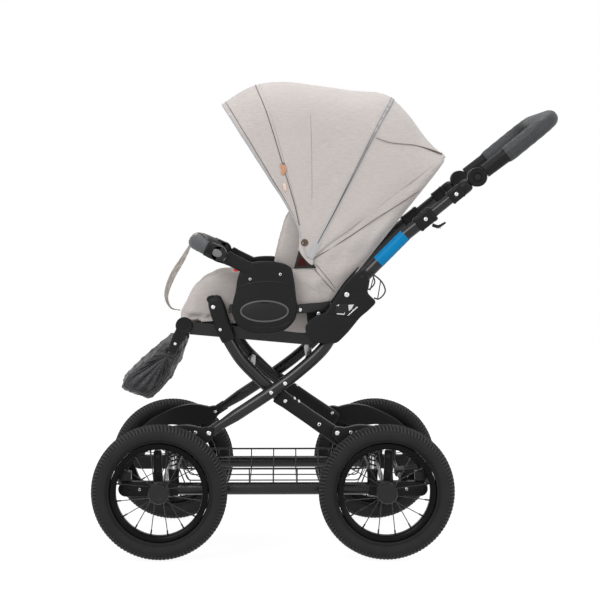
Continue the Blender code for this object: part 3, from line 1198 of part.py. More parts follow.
def hood_bow(name, angle, layer):
    """A bow under the fabric with its two eyes on the hood's pins."""
    clear = HOOD_THICKNESS + BOW_RADIUS * math.cos(math.pi / BOW_SIDES) + 1.5 * GAP
    half = HOOD_HALF_WIDTH - clear
    arch = hood_arch(hood_radius(angle) - clear - BOW_DROP, half, HOOD_CORNER - clear, BOW_START)
    bow = tube(name, [hood_place(angle, y, r) for y, r in arch], BOW_RADIUS, FRAME_PAINT,
               BOW_SIDES)
    parts = []
    y0 = SIDE_PLATE_Y + SIDE_PLATE_THICKNESS / 2 + GAP + layer * (BOW_EYE_THICKNESS + GAP)
    y1 = y0 + BOW_EYE_THICKNESS
    tip = hood_place(angle, 0, BOW_START + 0.006)
    for turn in (-1, 1):
        lo, hi = (-y1, -y0) if turn < 0 else (y0, y1)
        parts.append(pin("eye", *HOOD_CENTRE, lo, hi, 0.0075, FRAME_PAINT, 10))
        parts.append(slab("tongue", band_outline([HOOD_CENTRE, (tip[0], tip[2])], [0.0035, 0.0034], 1),
                          lo, hi, FRAME_PAINT))
    bow = combine(bow, parts, "UNION")
    bores = [pin("bore", *HOOD_CENTRE, -RAIL_Y, RAIL_Y, HOOD_PIN_RADIUS + GAP, PLASTIC, 10)]
    return combine(bow, bores, "DIFFERENCE")


def make_seat():
    housing = seat_housing()
    button = bumper_button()
    hinge, cover = footrest()
    seat = [housing, mirrored_far(housing, "seat_housing_far"), seat_frame(), seat_cushion(),
            crotch_strap()]
    lift = joint_frame("seat_lift", (SEAT_BOSS[0], 0, SEAT_BOSS[1]))
    carry(lift, seat)
    carry(joint_frame("footrest_fold", (FOOT_AXIS[0], 0, FOOT_AXIS[1])), [hinge, cover])
    carry(joint_frame("bumper_tilt", (BUMPER_JOINT[0], 0, BUMPER_JOINT[1])),
          [bumper_bar(), button, mirrored_far(button, "bumper_button_far")])
    carry(joint_frame("recline", (RECLINE_AXIS[0], 0, RECLINE_AXIS[1])),
          [backrest_frame(), backrest_cushion(),
           hood_panel("hood_rear_panel", HOOD_BAND_ANGLE - HOOD_SPLIT, HOOD_REAR_ANGLE, 4)])
    centre = (HOOD_CENTRE[0], 0, HOOD_CENTRE[1])
    carry(joint_frame("hood_mid_fold", centre), [hood_bow("hood_mid_bow", HOOD_BAND_ANGLE, 0)])
    carry(joint_frame("hood_front_fold", centre),
          [hood_bow("hood_front_bow", HOOD_BOW_ANGLE, 1),
           hood_panel("hood_front_panel", HOOD_FRONT_ANGLE, HOOD_BAND_ANGLE + HOOD_SPLIT, 6)])


def main():
    clear_scene()
    make_wheels()
    make_lower_frame()
    make_brake()
    make_cross_frame()
    make_handle()
    make_seat()


main()
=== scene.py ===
"""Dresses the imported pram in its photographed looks: paint, rubber, padding and cloth.

Metres, +Z up, the pram's front towards -X and its near side towards -Y. Each piece is a set of
numpy grids (points along u and v) made into one mesh at the origin, and rides on a CAD body.
"""

import math

import bmesh
import bpy
import numpy as np
from bpy.props import FloatProperty, FloatVectorProperty, IntProperty, PointerProperty
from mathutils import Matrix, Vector


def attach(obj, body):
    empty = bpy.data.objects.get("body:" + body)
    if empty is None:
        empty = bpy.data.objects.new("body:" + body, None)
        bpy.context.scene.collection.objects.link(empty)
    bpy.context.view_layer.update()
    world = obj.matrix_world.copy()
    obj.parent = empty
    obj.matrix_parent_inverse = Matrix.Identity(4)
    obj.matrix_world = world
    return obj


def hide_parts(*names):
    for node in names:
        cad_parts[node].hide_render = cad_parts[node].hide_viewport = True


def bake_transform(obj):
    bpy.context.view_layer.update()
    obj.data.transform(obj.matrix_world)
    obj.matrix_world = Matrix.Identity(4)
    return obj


bl_info = {
    "name": "Pram looks",
    "version": (1, 0, 0),
    "blender": (4, 5, 0),
    "location": "View3D > Sidebar > Pram",
    "description": "Builds the pram's detailed pieces and materials round its fixed frame",
    "category": "Object",
}


def mm(*numbers):
    """Points of two coordinates each, given one after another in millimetres."""
    return np.array(numbers, float).reshape(-1, 2) / 1000


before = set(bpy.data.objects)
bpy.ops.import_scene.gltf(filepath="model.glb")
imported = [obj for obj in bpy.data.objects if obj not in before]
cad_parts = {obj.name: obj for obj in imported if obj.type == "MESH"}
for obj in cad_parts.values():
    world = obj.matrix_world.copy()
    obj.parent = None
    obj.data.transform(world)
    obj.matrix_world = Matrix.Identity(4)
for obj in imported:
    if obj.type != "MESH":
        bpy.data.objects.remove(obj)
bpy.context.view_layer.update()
FLOOR_GLOW = 0.86   # share of the floor that is plain white; the rest keeps the shadow

# Wheels
TRACK_HALF = 0.27
AXLE_Z = 0.155
AXLE_X = {"front": -0.381, "rear": 0.136}
MIDDLE_X = (AXLE_X["front"] + AXLE_X["rear"]) / 2
AXLE_RADIUS = 0.006
TYRE_SEAT_RADIUS = 0.113
TYRE_RADIUS = 0.155
RIM_INNER_RADIUS = 0.099

# Lower frame
RAIL_Y = 0.215
CAST_TIP_X = -0.461
STRUT_X = -0.387
SPRING_X = -0.351
HOOP_LINE = mm(-258, 286, -270, 284, -288, 276.5, -322, 275.5, -358, 273, -395, 265.5, -430, 247.5, -460,
    219, -469.5, 194, -461.5, 174)
HOOP_HALVES = (0.007, 0.014, 0.02, 0.0265, 0.024, 0.0165, 0.0145, 0.0135, 0.012, 0.0105)
BASKET_HALF_WIDTH = 0.17
BASKET_X = (-0.345, 0.1)
BASKET_RIM_Z = 0.194
BASKET_FLOOR_Z = 0.146
BRAKE_AXIS = (0.18, 0.16)

# Cross frame
OUTER_LEG_Y = 0.2165
INNER_LEG_Y = 0.183
LEG_RADIUS = 0.014
FRONT_PIVOT = (-0.27, 0.284)
REAR_PIVOT = (0.025, 0.272)
OUTER_LEG = mm(-190, 336, -127, 378, -65, 424, -7, 478, 20, 528)
INNER_LEG = mm(-98, 357.5, -127, 380, -159, 410, -198.5, 452, -229, 503, -240.5, 536)
TOP_SLEEVE = mm(-224.5, 494, -240.5, 536, -252, 572, -258.5, 598)
OUTER_CROSS = (-0.0375, 0.45)
INNER_CROSS = (-0.175, 0.4265)
BRACKET_OUTLINE = mm(-48.5, 528.5, -44, 505, -32, 492, 23, 490, 50, 517, 77, 551, 96, 566, 115, 585.5, 92,
    606, 98, 640, 88, 662, 65, 652.5, 38.5, 624, 18, 590, -4, 560, -33, 548)
WIRE_LOOP_Y = 0.2245
WIRE_LOOP = mm(94.9, 652.4, 108, 646.5, 125, 632, 133.5, 615, 131, 603, 119, 592, 108.1, 594.3)
WIRE_LOOP_BARS = (((0.1085, 0.6465), (0.099, 0.611)), ((0.1235, 0.6345), (0.1165, 0.592)))
BRACKET_PIVOT = (0.0456, 0.602)

# Handle
HANDLE_Y = 0.205
HANDLE_BEND = (0.184, 0.741)
CLAMP_POINT = (0.226, 0.774)
SECOND_CLAMP_POINT = (0.296, 0.831)
TILT_CENTRE = (0.3447, 0.87)
TILT_RADIUS = 0.022
GRIP_START = (0.415, 0.923)
GRIP_END = (0.517, 1.006)
LEVER_PIVOT = (0.2428, 0.7603)

# Seat unit
HOUSING_Y = 0.2057
HOUSING_OUTLINE = mm(-190, 521, -212, 545, -216, 575, -208, 610, -202, 645, -186, 669, -155, 677, -115, 676,
    -84, 665, -75, 640, -70, 600, -67, 570, -75, 540, -100, 518, -142, 511)
BADGE_CENTRE = (-0.142, 0.5635)
BADGE_HALF = (0.054, 0.0235)
SEAT_BOSS = (-0.14, 0.622)
SEAT_FRONT = (-0.311, 0.521)
SEAT_REAR = (-0.031, 0.4955)
BUMPER_JOINT = (-0.247, 0.695)
BUMPER_FRONT = (-0.302, 0.7205)
RED_TAB = (-0.2065, 0.6575)
SOCKET_ROOT = (-0.182, 0.663)
STRAP_ROUTE = mm(-338, 680, -365, 635, -380, 590, -370, 560, -347.5, 553)
SEAT_HALF = 0.15
FOOT_AXIS = (-0.3285, 0.527)
FOOT_OUTLINE = mm(-328, 492, -350, 497, -378, 488, -424, 447, -468, 408, -481, 384, -470, 364, -438, 354,
    -415, 351, -384, 374, -350, 428)
SEAT_SIDE_TOP = mm(-344, 566, -332.6, 583, -309.6, 622.6, -276.5, 643, -230.6, 653, -68, 651)
BACK_FOOT = (0.014, 0.577)
BACK_ANGLE = math.radians(51.5)

# Hood: a fan of arches about one centre
HOOD_CENTRE = (-0.042, 0.6755)
HOOD_HALF_WIDTH = 0.1835
HOOD_CORNER = 0.1
HOOD_FRONT_ANGLE = 118.6
HOOD_BOW_ANGLE = 107.4
HOOD_BAND_ANGLE = 63.3
HOOD_REAR_ANGLE = 38.0
HOOD_TOP = ((36.6, 0.4085), (43.5, 0.4), (49.4, 0.4037), (56.2, 0.417), (63.3, 0.4302), (67.6, 0.4297),
    (76.3, 0.4133), (87.4, 0.412), (98.0, 0.4235), (107.4, 0.429), (118.6, 0.4175))

# Colours, linear
PAINT = (0.0085, 0.0085, 0.0092)
PLASTIC = (0.009, 0.009, 0.0094)
RUBBER = (0.0118, 0.0116, 0.0114)
GREIGE = (0.488, 0.449, 0.432)
GREIGE_SHADE = (0.388, 0.355, 0.339)
SEAM_BROWN = (0.15, 0.12, 0.105)
PIPING_GREY = (0.42, 0.42, 0.425)
LEATHER_GREY = (0.034, 0.036, 0.039)
NYLON = (0.016, 0.016, 0.018)
WEB_BROWN = (0.264, 0.235, 0.214)
BAND_BLUE = (0.0, 0.152, 0.345)


def unit(v):
    return v / np.maximum(np.linalg.norm(v, axis=-1, keepdims=True), 1e-12)


def lengths(path):
    """How far along the path each of its points lies."""
    return np.concatenate([[0], np.cumsum(np.linalg.norm(np.diff(path, axis=0), axis=1))])


def full_turn(steps):
    return 2 * np.pi * np.arange(steps) / steps


def polar(radius, angle):
    return np.stack([radius * np.cos(angle), radius * np.sin(angle)], axis=-1)


def smooth_points(points, per_span, closed=False):
    """A Catmull-Rom curve through the points: p(t) is cubic in t between each two of them."""
    pts = np.array(points, float)
    if closed:
        ends = np.vstack([pts[-1], pts, pts[0], pts[1]])
    else:
        ends = np.vstack([2 * pts[0] - pts[1], pts, 2 * pts[-1] - pts[-2]])
    t = (np.arange(per_span) / per_span)[None, :, None]
    a, b, c, d = (ends[k:len(ends) - 3 + k][:, None, :] for k in range(4))
    out = 0.5 * (2 * b + (c - a) * t + (2 * a - 5 * b + 4 * c - d) * t**2 + (3 * b - a - 3 * c + d) * t**3)
    out = out.reshape(-1, pts.shape[1])
    return out if closed else np.vstack([out, pts[-1]])


def even_points(points, count):
    """The polyline at count places spaced equally along its length."""
    pts = np.array(points, float)
    at = lengths(pts)
    want = np.linspace(0, at[-1], count)
    return np.column_stack([np.interp(want, at, pts[:, k]) for k in range(pts.shape[1])])


def bent_path(points, radii, steps=10):
    """Straight runs joined by circular arcs: each inner point gets a bend of its own radius."""
    pts = [np.array(p, float) for p in points]
    out = [pts[0][None]]
    for before, corner, after, radius in zip(pts, pts[1:], pts[2:], radii):
        u, w = unit(before - corner), unit(after - corner)
        half = math.acos(np.clip(u @ w, -1, 1)) / 2
        centre = corner + unit(u + w) * radius / math.sin(half)
        start = corner + u * radius / math.tan(half) - centre
        end = corner + w * radius / math.tan(half) - centre
        turn = math.acos(np.clip(start @ end / radius**2, -1, 1))
        a = np.linspace(0, turn, steps + 1)[:, None]
        out.append(centre + (start * np.sin(turn - a) + end * np.sin(a)) / math.sin(turn))
    out.append(pts[-1][None])
    return np.vstack(out)


def in_plane(points, y):
    pts = np.array(points, float)
    return np.column_stack([pts[:, 0], np.full(len(pts), y), pts[:, 1]])


def along(start, end, distance):
    a, b = np.array(start, float), np.array(end, float)
    return a + unit(b - a) * distance


def circle(radius, sides=24):
    return polar(radius, full_turn(sides))


def rounded(half_side, half_up, corner, steps=6):
    """A rectangle with quarter-circle corners."""
    middle = np.array([half_side - corner, half_up - corner])
    return np.vstack([middle * signs + polar(corner, np.radians(np.linspace(start, start + 90,
        steps + 1))) for start, signs in ((0, (1, 1)), (90, (-1, 1)), (180, (-1, -1)), (270, (1, -1)))])


def sweep(path, section, ref=(0, 1, 0)):
    """Section points (a, b) at every path point p: p + a * side + b * up, where up lies along ref
    as nearly as the path's direction lets it."""
    path = np.array(path, float)
    tangent = unit(np.gradient(path, axis=0))
    side = unit(np.cross(tangent, np.array(ref, float)))
    up = np.cross(side, tangent)
    section = np.array(section, float)
    if section.ndim == 2:
        section = np.broadcast_to(section, (len(path),) + section.shape)
    return (path[:, None] + section[..., :1] * side[:, None] + section[..., 1:] * up[:, None])


def grid(points, look, close_u=False, close_v=True, caps=True, uv=None):
    """One part: a grid of points (along u, round v), its look and its plan in metres."""
    points = np.array(points, float)
    if uv is None:
        du = np.linalg.norm(np.diff(points, axis=0), axis=2).mean(1)
        dv = np.linalg.norm(np.diff(points, axis=1), axis=2).mean(0)
        u = np.concatenate([[0], np.cumsum(du)])
        v = np.concatenate([[0], np.cumsum(dv)])
        uv = np.stack(np.meshgrid(u, v, indexing="ij"), axis=-1)
    return {"points": points, "look": look, "close_u": close_u, "close_v": close_v,
        "caps": caps and not close_u, "uv": uv}


def tube(path, radius, look, sides=20, ref=(0, 1, 0), close=False, caps=True):
    """A round tube whose radius is one number or one for each path point."""
    path = np.array(path, float)
    radius = np.broadcast_to(np.asarray(radius, float), (len(path),))
    section = circle(1.0, sides)[None] * radius[:, None, None]
    if close:
        wide = np.vstack([path[-1:], path, path[:1]])
        rings = sweep(wide, np.concatenate([section[:1], section, section[:1]]), ref)[1:-1]
        return grid(rings, look, close_u=True)
    return grid(sweep(path, section, ref), look, caps=caps)


def soft_ends(path, radius, edge, steps=4):
    """The path with extra points at its ends and the radii that round those ends off."""
    a = np.linspace(0, np.pi / 2, steps + 1)
    back, drop = edge * (1 - np.sin(a)), edge * (1 - np.cos(a))[:, None]
    start = path[0] + unit(path[1] - path[0]) * drop
    stop = path[-1] + unit(path[-2] - path[-1]) * drop
    points = np.vstack([start, path[1:-1], stop[::-1]])
    return points, np.concatenate([radius - back, np.full(len(path) - 2, radius), (radius - back)[::-1]])


def rod(start, end, radius, look, edge=0.001, sides=24, ref=(0, 1, 0)):
    """A straight bar with rounded ends."""
    middle = np.array([start, end], float)
    points, radii = soft_ends(middle, radius, edge)
    direction = unit(middle[1] - middle[0])
    if abs(direction @ np.array(ref, float)) > 0.9:
        ref = (0, 0, 1)
    return tube(points, radii, look, sides, ref)


def bar(at, y0, y1, radius, look, sides=24):
    """A straight bar along Y, at a place in X and Z."""
    return rod((at[0], y0, at[1]), (at[0], y1, at[1]), radius, look, sides=sides)


def boxed(line, y, half_side, half_up, corner, grow):
    """A rounded box section along a line in X and Z, sized at each of its points by grow."""
    section = rounded(half_side, half_up, corner) * np.reshape(grow, (-1, 1, 1))
    return grid(sweep(in_plane(line, y), section), "plastic")


def lathe(profile, centre, look, steps=64, axis="y"):
    """A profile of (radius, along the axis) turned about an axis along Y or Z."""
    profile = np.array(profile, float)
    a, b = np.moveaxis(polar(profile[:, :1], full_turn(steps)), -1, 0)
    level = profile[:, 1:] + 0 * a
    return grid(np.stack([a, level, b] if axis == "y" else [a, b, level], axis=-1) + centre, look)


def outward(outline):
    """Unit normals of a closed outline, pointing out of it."""
    pts = np.array(outline, float)
    tangent = unit(np.roll(pts, -1, 0) - np.roll(pts, 1, 0))
    normal = np.column_stack([tangent[:, 1], -tangent[:, 0]])
    nxt = np.roll(pts, -1, 0)
    area = (pts[:, 0] * nxt[:, 1] - nxt[:, 0] * pts[:, 1]).sum()
    return normal if area > 0 else -normal


def plate(outline, y0, y1, look, edge=0.002, steps=4, crown=0.0, crown_far=0.0):
    """An outline in X and Z given a width along Y. Its rims are quarter circles of radius edge, and
    its faces rise towards their middle by crown, as crown * (1 - f^2) at f of the way out."""
    pts = np.array(outline, float)
    normal = outward(pts)
    middle = pts.mean(axis=0)
    a = np.linspace(0, np.pi / 2, steps + 1)
    rows = []
    inset = pts - normal * edge

    def face(y, rise, sign):
        if not rise:
            return []
        f = np.array([0.02, 0.2, 0.4, 0.6, 0.75, 0.88, 0.96])
        shape = middle + (inset - middle) * f[:, None, None]
        level = y + sign * rise * (1 - f**2)
        return [np.dstack([shape[..., :1], np.broadcast_to(level[:, None, None], shape[..., :1].shape),
            shape[..., 1:]])]

    rows += face(y0, crown, -1)
    for turn in a:
        ring = pts - normal * edge * (1 - math.sin(turn))
        rows.append(in_plane(ring, y0 + edge * (1 - math.cos(turn)))[None])
    for turn in a[::-1]:
        ring = pts - normal * edge * (1 - math.sin(turn))
        rows.append(in_plane(ring, y1 - edge * (1 - math.cos(turn)))[None])
    rows += [r[::-1] for r in face(y1, crown_far, 1)]
    return grid(np.concatenate(rows), look)


def band(points, halves, per_span=8):
    """The outline of a strip whose middle line and half widths run smoothly through the points."""
    line = smooth_points([(x, z, h) for (x, z), h in zip(points, halves)], per_span)
    tangent = unit(np.gradient(line[:, :2], axis=0))
    normal = np.column_stack([-tangent[:, 1], tangent[:, 0]])
    left = line[:, :2] + normal * line[:, 2:]
    right = line[:, :2] - normal * line[:, 2:]
    return np.vstack([left, right[::-1]])


def round_corners(points, radius, steps=5):
    """A closed polygon whose corners are cut round, by a curve from one side to the next."""
    pts = np.array(points, float)
    before, after = np.roll(pts, 1, 0), np.roll(pts, -1, 0)
    reach_a = np.minimum(radius, np.linalg.norm(before - pts, axis=1) * 0.45)[:, None]
    reach_b = np.minimum(radius, np.linalg.norm(after - pts, axis=1) * 0.45)[:, None]
    start = pts + unit(before - pts) * reach_a
    end = pts + unit(after - pts) * reach_b
    t = np.linspace(0, 1, steps)[None, :, None]
    curve = ((1 - t)**2 * start[:, None] + 2 * t * (1 - t) * pts[:, None] + t**2 * end[:, None])
    return curve.reshape(-1, 2)


def slab(points, corner, y0, y1, look, edge=0.002):
    """A plate whose outline has its corners cut round."""
    return plate(round_corners(points, corner), y0, y1, look, edge)


def screw(x, z, y, look="bright_steel", radius=0.0045, rise=0.0016, facing=-1):
    """A domed screw or rivet head with a round socket, its face towards facing along Y."""
    r = radius
    f = facing * rise
    profile = [(r * 0.04, f * 0.25), (r * 0.42, f * 0.25), (r * 0.48, f * 0.92), (r * 0.62, f), (r * 0.85,
        f * 0.72), (r, f * 0.2), (r, -f * 0.5)]
    return lathe(profile, (x, y, z), look, 20)


def screws(places, y, look="bright_steel", radius=0.0045, rise=0.0016):
    return [screw(x, z, y, look, radius, rise) for x, z in places]


def mirrored(parts):
    return [{**part, "points": part["points"] * (1, -1, 1)} for part in parts]


def rear_copy(parts):
    return [{**part, "points": part["points"] * (-1, 1, 1) + (2 * MIDDLE_X, 0, 0)} for part in parts]


# Materials: every look is a node graph on Object coordinates or on the piece's own plan in metres


def graph(tree):
    """Helpers for a node tree: fill sets or links a node's inputs, and add makes a node first."""
    def fill(node, inputs):
        for key, value in inputs.items():
            if isinstance(value, bpy.types.NodeSocket):
                tree.links.new(value, node.inputs[key])
            else:
                node.inputs[key].default_value = value
        return node.outputs[0] if node.outputs else node

    def add(kind, inputs, **settings):
        node = tree.nodes.new("ShaderNode" + kind)
        for key, value in settings.items():
            setattr(node, key, value)
        return fill(node, inputs)

    return fill, add


class Look:
    """A new material on the principled shader, with the few patterns that the looks share."""

    def __init__(self, name):
        self.material = bpy.data.materials.new(name)
        self.material.use_nodes = True
        self.tree = self.material.node_tree
        self.shader = self.tree.nodes["Principled BSDF"]
        self.fill, self.add = graph(self.tree)

    def coords(self, name):
        return self.tree.nodes.new("ShaderNodeTexCoord").outputs[name]

    def math(self, operation, a, b=None):
        return self.add("Math", {0: a} if b is None else {0: a, 1: b}, operation=operation)

    def noise(self, scale, detail=3.0, stretch=(1, 1, 1), rough=0.5, uv=False):
        place = self.add("Mapping", {"Vector": self.coords("UV" if uv else "Object"), "Scale": stretch})
        return self.add("TexNoise", {"Vector": place, "Scale": scale, "Detail": detail, "Roughness": rough})

    def wave(self, axis, scale, distortion=0.0, detail=2.0, detail_scale=1.0):
        wave = self.add("TexWave", {"Vector": self.coords("UV"), "Scale": scale, "Distortion": distortion,
                                    "Detail": detail, "Detail Scale": detail_scale}, bands_direction=axis)
        return wave.node.outputs["Fac"]

    def ramp(self, source, low, low_colour, high, high_colour):
        """The first colour up to low and the second one from high, blended between them."""
        ramp = self.add("ValToRGB", {"Fac": source})
        for element, place, colour in zip(ramp.node.color_ramp.elements, (low, high),
                                          (low_colour, high_colour)):
            element.position = place
            element.color = (*colour, 1.0)
        return ramp

    def span(self, source, low, high):
        return self.add("MapRange", {"Value": source, "To Min": low, "To Max": high})

    def bump(self, height, strength, distance, before=None):
        inputs = {"Height": height, "Strength": strength, "Distance": distance}
        return self.add("Bump", inputs if before is None else {**inputs, "Normal": before})

    def finish(self, colour, rough, normal, specular=0.5, **others):
        """Sets the shader's own inputs and gives the material."""
        self.fill(self.shader, {"Base Color": colour, "Roughness": rough, "Normal": normal,
                                "Specular IOR Level": specular})
        self.fill(self.shader, {key.replace("_", " "): value for key, value in others.items()})
        return self.material


def tinted(colour, factor):
    return tuple(min(1.0, c * factor) for c in colour)


def solid_look(name, colour, rough, metallic=0.0, grain=900.0, grain_depth=0.00004, patch=9.0,
               spread=0.12, specular=0.24):
    """Paint, metal or moulded plastic: fine grain in its relief and slow patches in its tone."""
    look = Look(name)
    tone = look.ramp(look.noise(patch, 4.0), 0.3, tinted(colour, 1 - spread), 0.7,
                     tinted(colour, 1 + spread))
    return look.finish(tone, look.span(look.noise(patch * 6, 5.0), rough - 0.08, rough + 0.08),
                       look.bump(look.noise(grain, 2.0), 0.5, grain_depth), specular, Metallic=metallic)


def tread_look(name, block, groove):
    """Tyre tread: the plan counts blocks round the wheel; grooves at every half count get painted shade,
    block tops painted light.
    """
    look = Look(name)
    count = look.tree.nodes.new("ShaderNodeSeparateXYZ")
    look.fill(count, {0: look.coords("UV")})
    away = look.math("ABSOLUTE", look.math("SUBTRACT", look.math("FRACT", count.outputs["X"]), 0.5))
    # painted shade in the grooves and painted light on the block tops
    return look.finish(look.ramp(away, 0.12, groove, 0.24, block), 0.7,
                       look.bump(look.noise(500.0, 2.0), 0.5, 0.0002), 0.2)


def cloth_look(name, colour, shade, pitch, depth):
    """Woven cloth: warp and weft waves at the thread's pitch in metres, slubs along the weft, and
    a melange of two tones that follows the threads."""
    look = Look(name)
    weave = look.math("MULTIPLY", *(look.wave(axis, 0.5 / pitch, 0.6, 1.0, 0.6) for axis in "XY"))
    threads = look.math("ADD", look.noise(60.0, 6.0, (1.0, 1.0, 12.0), 0.65),
                        look.noise(130.0, 5.0, (9.0, 1.0, 1.0), 0.65, uv=True))
    half = look.math("MULTIPLY", threads, 0.5)
    wash = look.ramp(look.noise(7.0), 0.3, (0.95, 0.95, 0.95), 0.7, (1.0, 1.0, 1.0))
    mix = look.tree.nodes.new("ShaderNodeMix")
    mix.data_type, mix.blend_type = "RGBA", "MULTIPLY"
    look.fill(mix, {"Factor": 1.0, "A": look.ramp(half, 0.39, shade, 0.61, colour), "B": wash})
    return look.finish(mix.outputs["Result"], 0.92, look.bump(look.math("ADD", weave, half), 0.7, depth),
                       0.2, Sheen_Weight=0.25, Sheen_Roughness=0.5)


def nylon_look(name):
    """Crinkled coated nylon: creases from folded noise, with a soft gloss on their edges."""
    look = Look(name)
    folds = look.noise(22.0, 6.0, (1.0, 0.6, 1.0), 0.55)
    creases = look.bump(look.math("ABSOLUTE", look.math("SUBTRACT", folds, 0.5)), 1.0, 0.012)
    return look.finish(look.ramp(folds, 0.35, tinted(NYLON, 0.8), 0.7, tinted(NYLON, 1.6)), 0.4,
                       look.bump(look.noise(1400.0, 1.0), 0.3, 0.0001, creases), 0.4)


def leather_look(name, colour):
    """Leatherette: pebbles from a cell texture, with painted shade in their grooves and painted light on
    their tops, and a waxy gloss.
    """
    look = Look(name)
    cells = look.add("TexVoronoi", {"Vector": look.coords("Object"), "Scale": 520.0})
    # painted shade: the colour is darker towards each pebble's groove and lighter on its top
    return look.finish(look.ramp(cells, 0.0, tinted(colour, 1.25), 0.8, tinted(colour, 0.75)),
                       look.span(look.noise(30.0, 4.0), 0.42, 0.62),
                       look.bump(look.noise(60.0, 4.0), 0.25, 0.0006, look.bump(cells, 0.5, -0.00035)),
                       0.3)


def webbing_look(name):
    """Flat webbing: a twill of slanted ridges and slow patches in its tone."""
    look = Look(name)
    patches = look.noise(90.0, 4.0, rough=0.6, uv=True)
    return look.finish(look.ramp(patches, 0.35, tinted(WEB_BROWN, 0.72), 0.65, tinted(WEB_BROWN, 1.35)),
                       0.85, look.bump(look.wave("DIAGONAL", 340.0, 0.4, 1.0), 0.8, 0.0004))


def zip_look(name):
    """The zip's tape and teeth: pale ribs across the grey tape at a 2 mm pitch."""
    look = Look(name)
    ribs = look.wave("X", 0.5 / 0.0042)
    return look.finish(look.ramp(ribs, 0.25, (0.24, 0.24, 0.25), 0.75, (0.5, 0.5, 0.52)), 0.55,
                       look.bump(ribs, 0.9, 0.0006))


def make_looks(settings):
    """Every look by its short name: the solid ones, then cloth, then the rest."""
    greige = tuple(settings.cloth_colour)
    solids = {
        "paint": ("frame paint", PAINT, 0.26, 0.0, 1500.0, 0.00003, 9.0, 0.12, 0.34),
        "rim_paint": ("rim paint", tinted(PAINT, 0.35), 0.3, 0.0, 1500.0, 0.00003, 9.0, 0.12, 0.08),
        "plastic": ("black plastic", PLASTIC, 0.44, 0.0, 1100.0, 0.00006, 9.0, 0.12, 0.13),
        "smooth_plastic": ("smooth black plastic", PLASTIC, 0.32, 0.0, 1600.0, 0.00002, 9.0, 0.12, 0.25),
        "rubber": ("tyre rubber", RUBBER, 0.72, 0.0, 700.0, 0.0001, 14.0, 0.2, 0.2),
        "wire": ("coated wire", PAINT, 0.28, 0.0, 1500.0, 0.00002, 9.0, 0.12, 0.4),
        "bright_steel": ("bright steel", (0.68, 0.68, 0.69), 0.22, 1.0, 600.0, 0.00001),
        "bare_steel": ("bare steel", (0.56, 0.56, 0.57), 0.3, 1.0, 400.0, 0.00002),
        "brass": ("aged brass", (0.15, 0.117, 0.085), 0.36, 1.0, 500.0, 0.00002),
        "dark_brass": ("brass cup", (0.07, 0.05, 0.03), 0.45, 0.6, 500.0, 0.00002),
        "grey_plastic": ("grey plastic", (0.14, 0.14, 0.145), 0.38, 0.0, 1200.0, 0.00003),
        "button_red": ("red button", (0.45, 0.02, 0.015), 0.4),
        "red_tape": ("dark red tape", (0.035, 0.006, 0.006), 0.8, 0.0, 900.0, 0.00004, 9.0, 0.12, 0.1),
        "blue_band": ("blue band", BAND_BLUE, 0.42, 0.0, 900.0, 0.00004, 9.0, 0.05, 0.1),
        "label": ("blank label", (0.16, 0.19, 0.19), 0.5, 0.0, 900.0, 0.00004, 9.0, 0.06),
        "seam_dark": ("black tape", (0.018, 0.016, 0.016), 0.8),
        "grey_edge": ("badge ring", (0.075, 0.076, 0.078), 0.4),
        "badge": ("badge dish", tinted(PLASTIC, 0.8), 0.38),
        "pale_leather": ("pale leather", (0.6, 0.44, 0.36), 0.6, 0.0, 600.0, 0.0001),
        "copper_leather": ("copper leather", (0.42, 0.21, 0.12), 0.5, 0.0, 600.0, 0.0001),
    }
    cloths = {
        "cloth": ("greige cloth", greige, GREIGE_SHADE, 0.0011, 0.00022),
        "lining": ("lining cloth", tinted(greige, 0.92), tinted(GREIGE_SHADE, 0.92), 0.0008, 0.00012),
        "piping": ("grey piping", PIPING_GREY, tinted(PIPING_GREY, 0.8), 0.0012, 0.0002),
        "seam": ("seam", SEAM_BROWN, tinted(SEAM_BROWN, 0.7), 0.0012, 0.0002),
        "faint_seam": ("faint seam", tinted(GREIGE_SHADE, 0.82), tinted(GREIGE_SHADE, 0.7), 0.0012, 0.0001),
        "stitch": ("stitching", (0.09, 0.09, 0.09), (0.05, 0.05, 0.05), 0.0006, 0.0001),
    }
    return {**{key: solid_look(*values) for key, values in solids.items()},
            **{key: cloth_look(*values) for key, values in cloths.items()},
            # tread: block tops painted lighter and grooves darker, as painted light and painted shade
            "tread": tread_look("tyre tread", tinted(RUBBER, 2.0), tinted(RUBBER, 0.35)),
            "zip": zip_look("zip band"), "nylon": nylon_look("crinkled nylon"),
            "leather": leather_look("leatherette", LEATHER_GREY),
            # the bumper's leatherette is twice as light as the grip's: a painted sheen
            "bumper_leather": leather_look("bumper leatherette", tinted(LEATHER_GREY, 2.0)),
            "webbing": webbing_look("brown webbing")}


LOOKS = {}


def grid_faces(part):
    """Corner numbers of a part's quads, and of the caps that close its ends."""
    index = np.arange(part["points"].shape[0] * part["points"].shape[1]).reshape(part["points"].shape[:2])
    a = index if part["close_u"] else index[:-1]
    b = np.roll(index, -1, 0) if part["close_u"] else index[1:]
    if part["close_v"]:
        a2, b2 = np.roll(a, -1, 1), np.roll(b, -1, 1)
    else:
        a2, b2, a, b = a[:, 1:], b[:, 1:], a[:, :-1], b[:, :-1]
    capped = part["caps"] and part["close_v"]
    return np.stack([a, a2, b2, b], axis=-1).reshape(-1, 4), [index[0][::-1], index[-1]] if capped else []


def turn_outwards(bm):
    """Turns round the faces of each joined-up part whose volume comes out negative."""
    left = set(bm.faces)
    while left:
        part = [left.pop()]
        for face in part:
            near = {other for edge in face.edges for other in edge.link_faces} & left
            left -= near
            part += near
        if sum(face.calc_center_median().dot(face.normal) * face.calc_area() for face in part) < 0:
            bmesh.ops.reverse_faces(bm, faces=part)


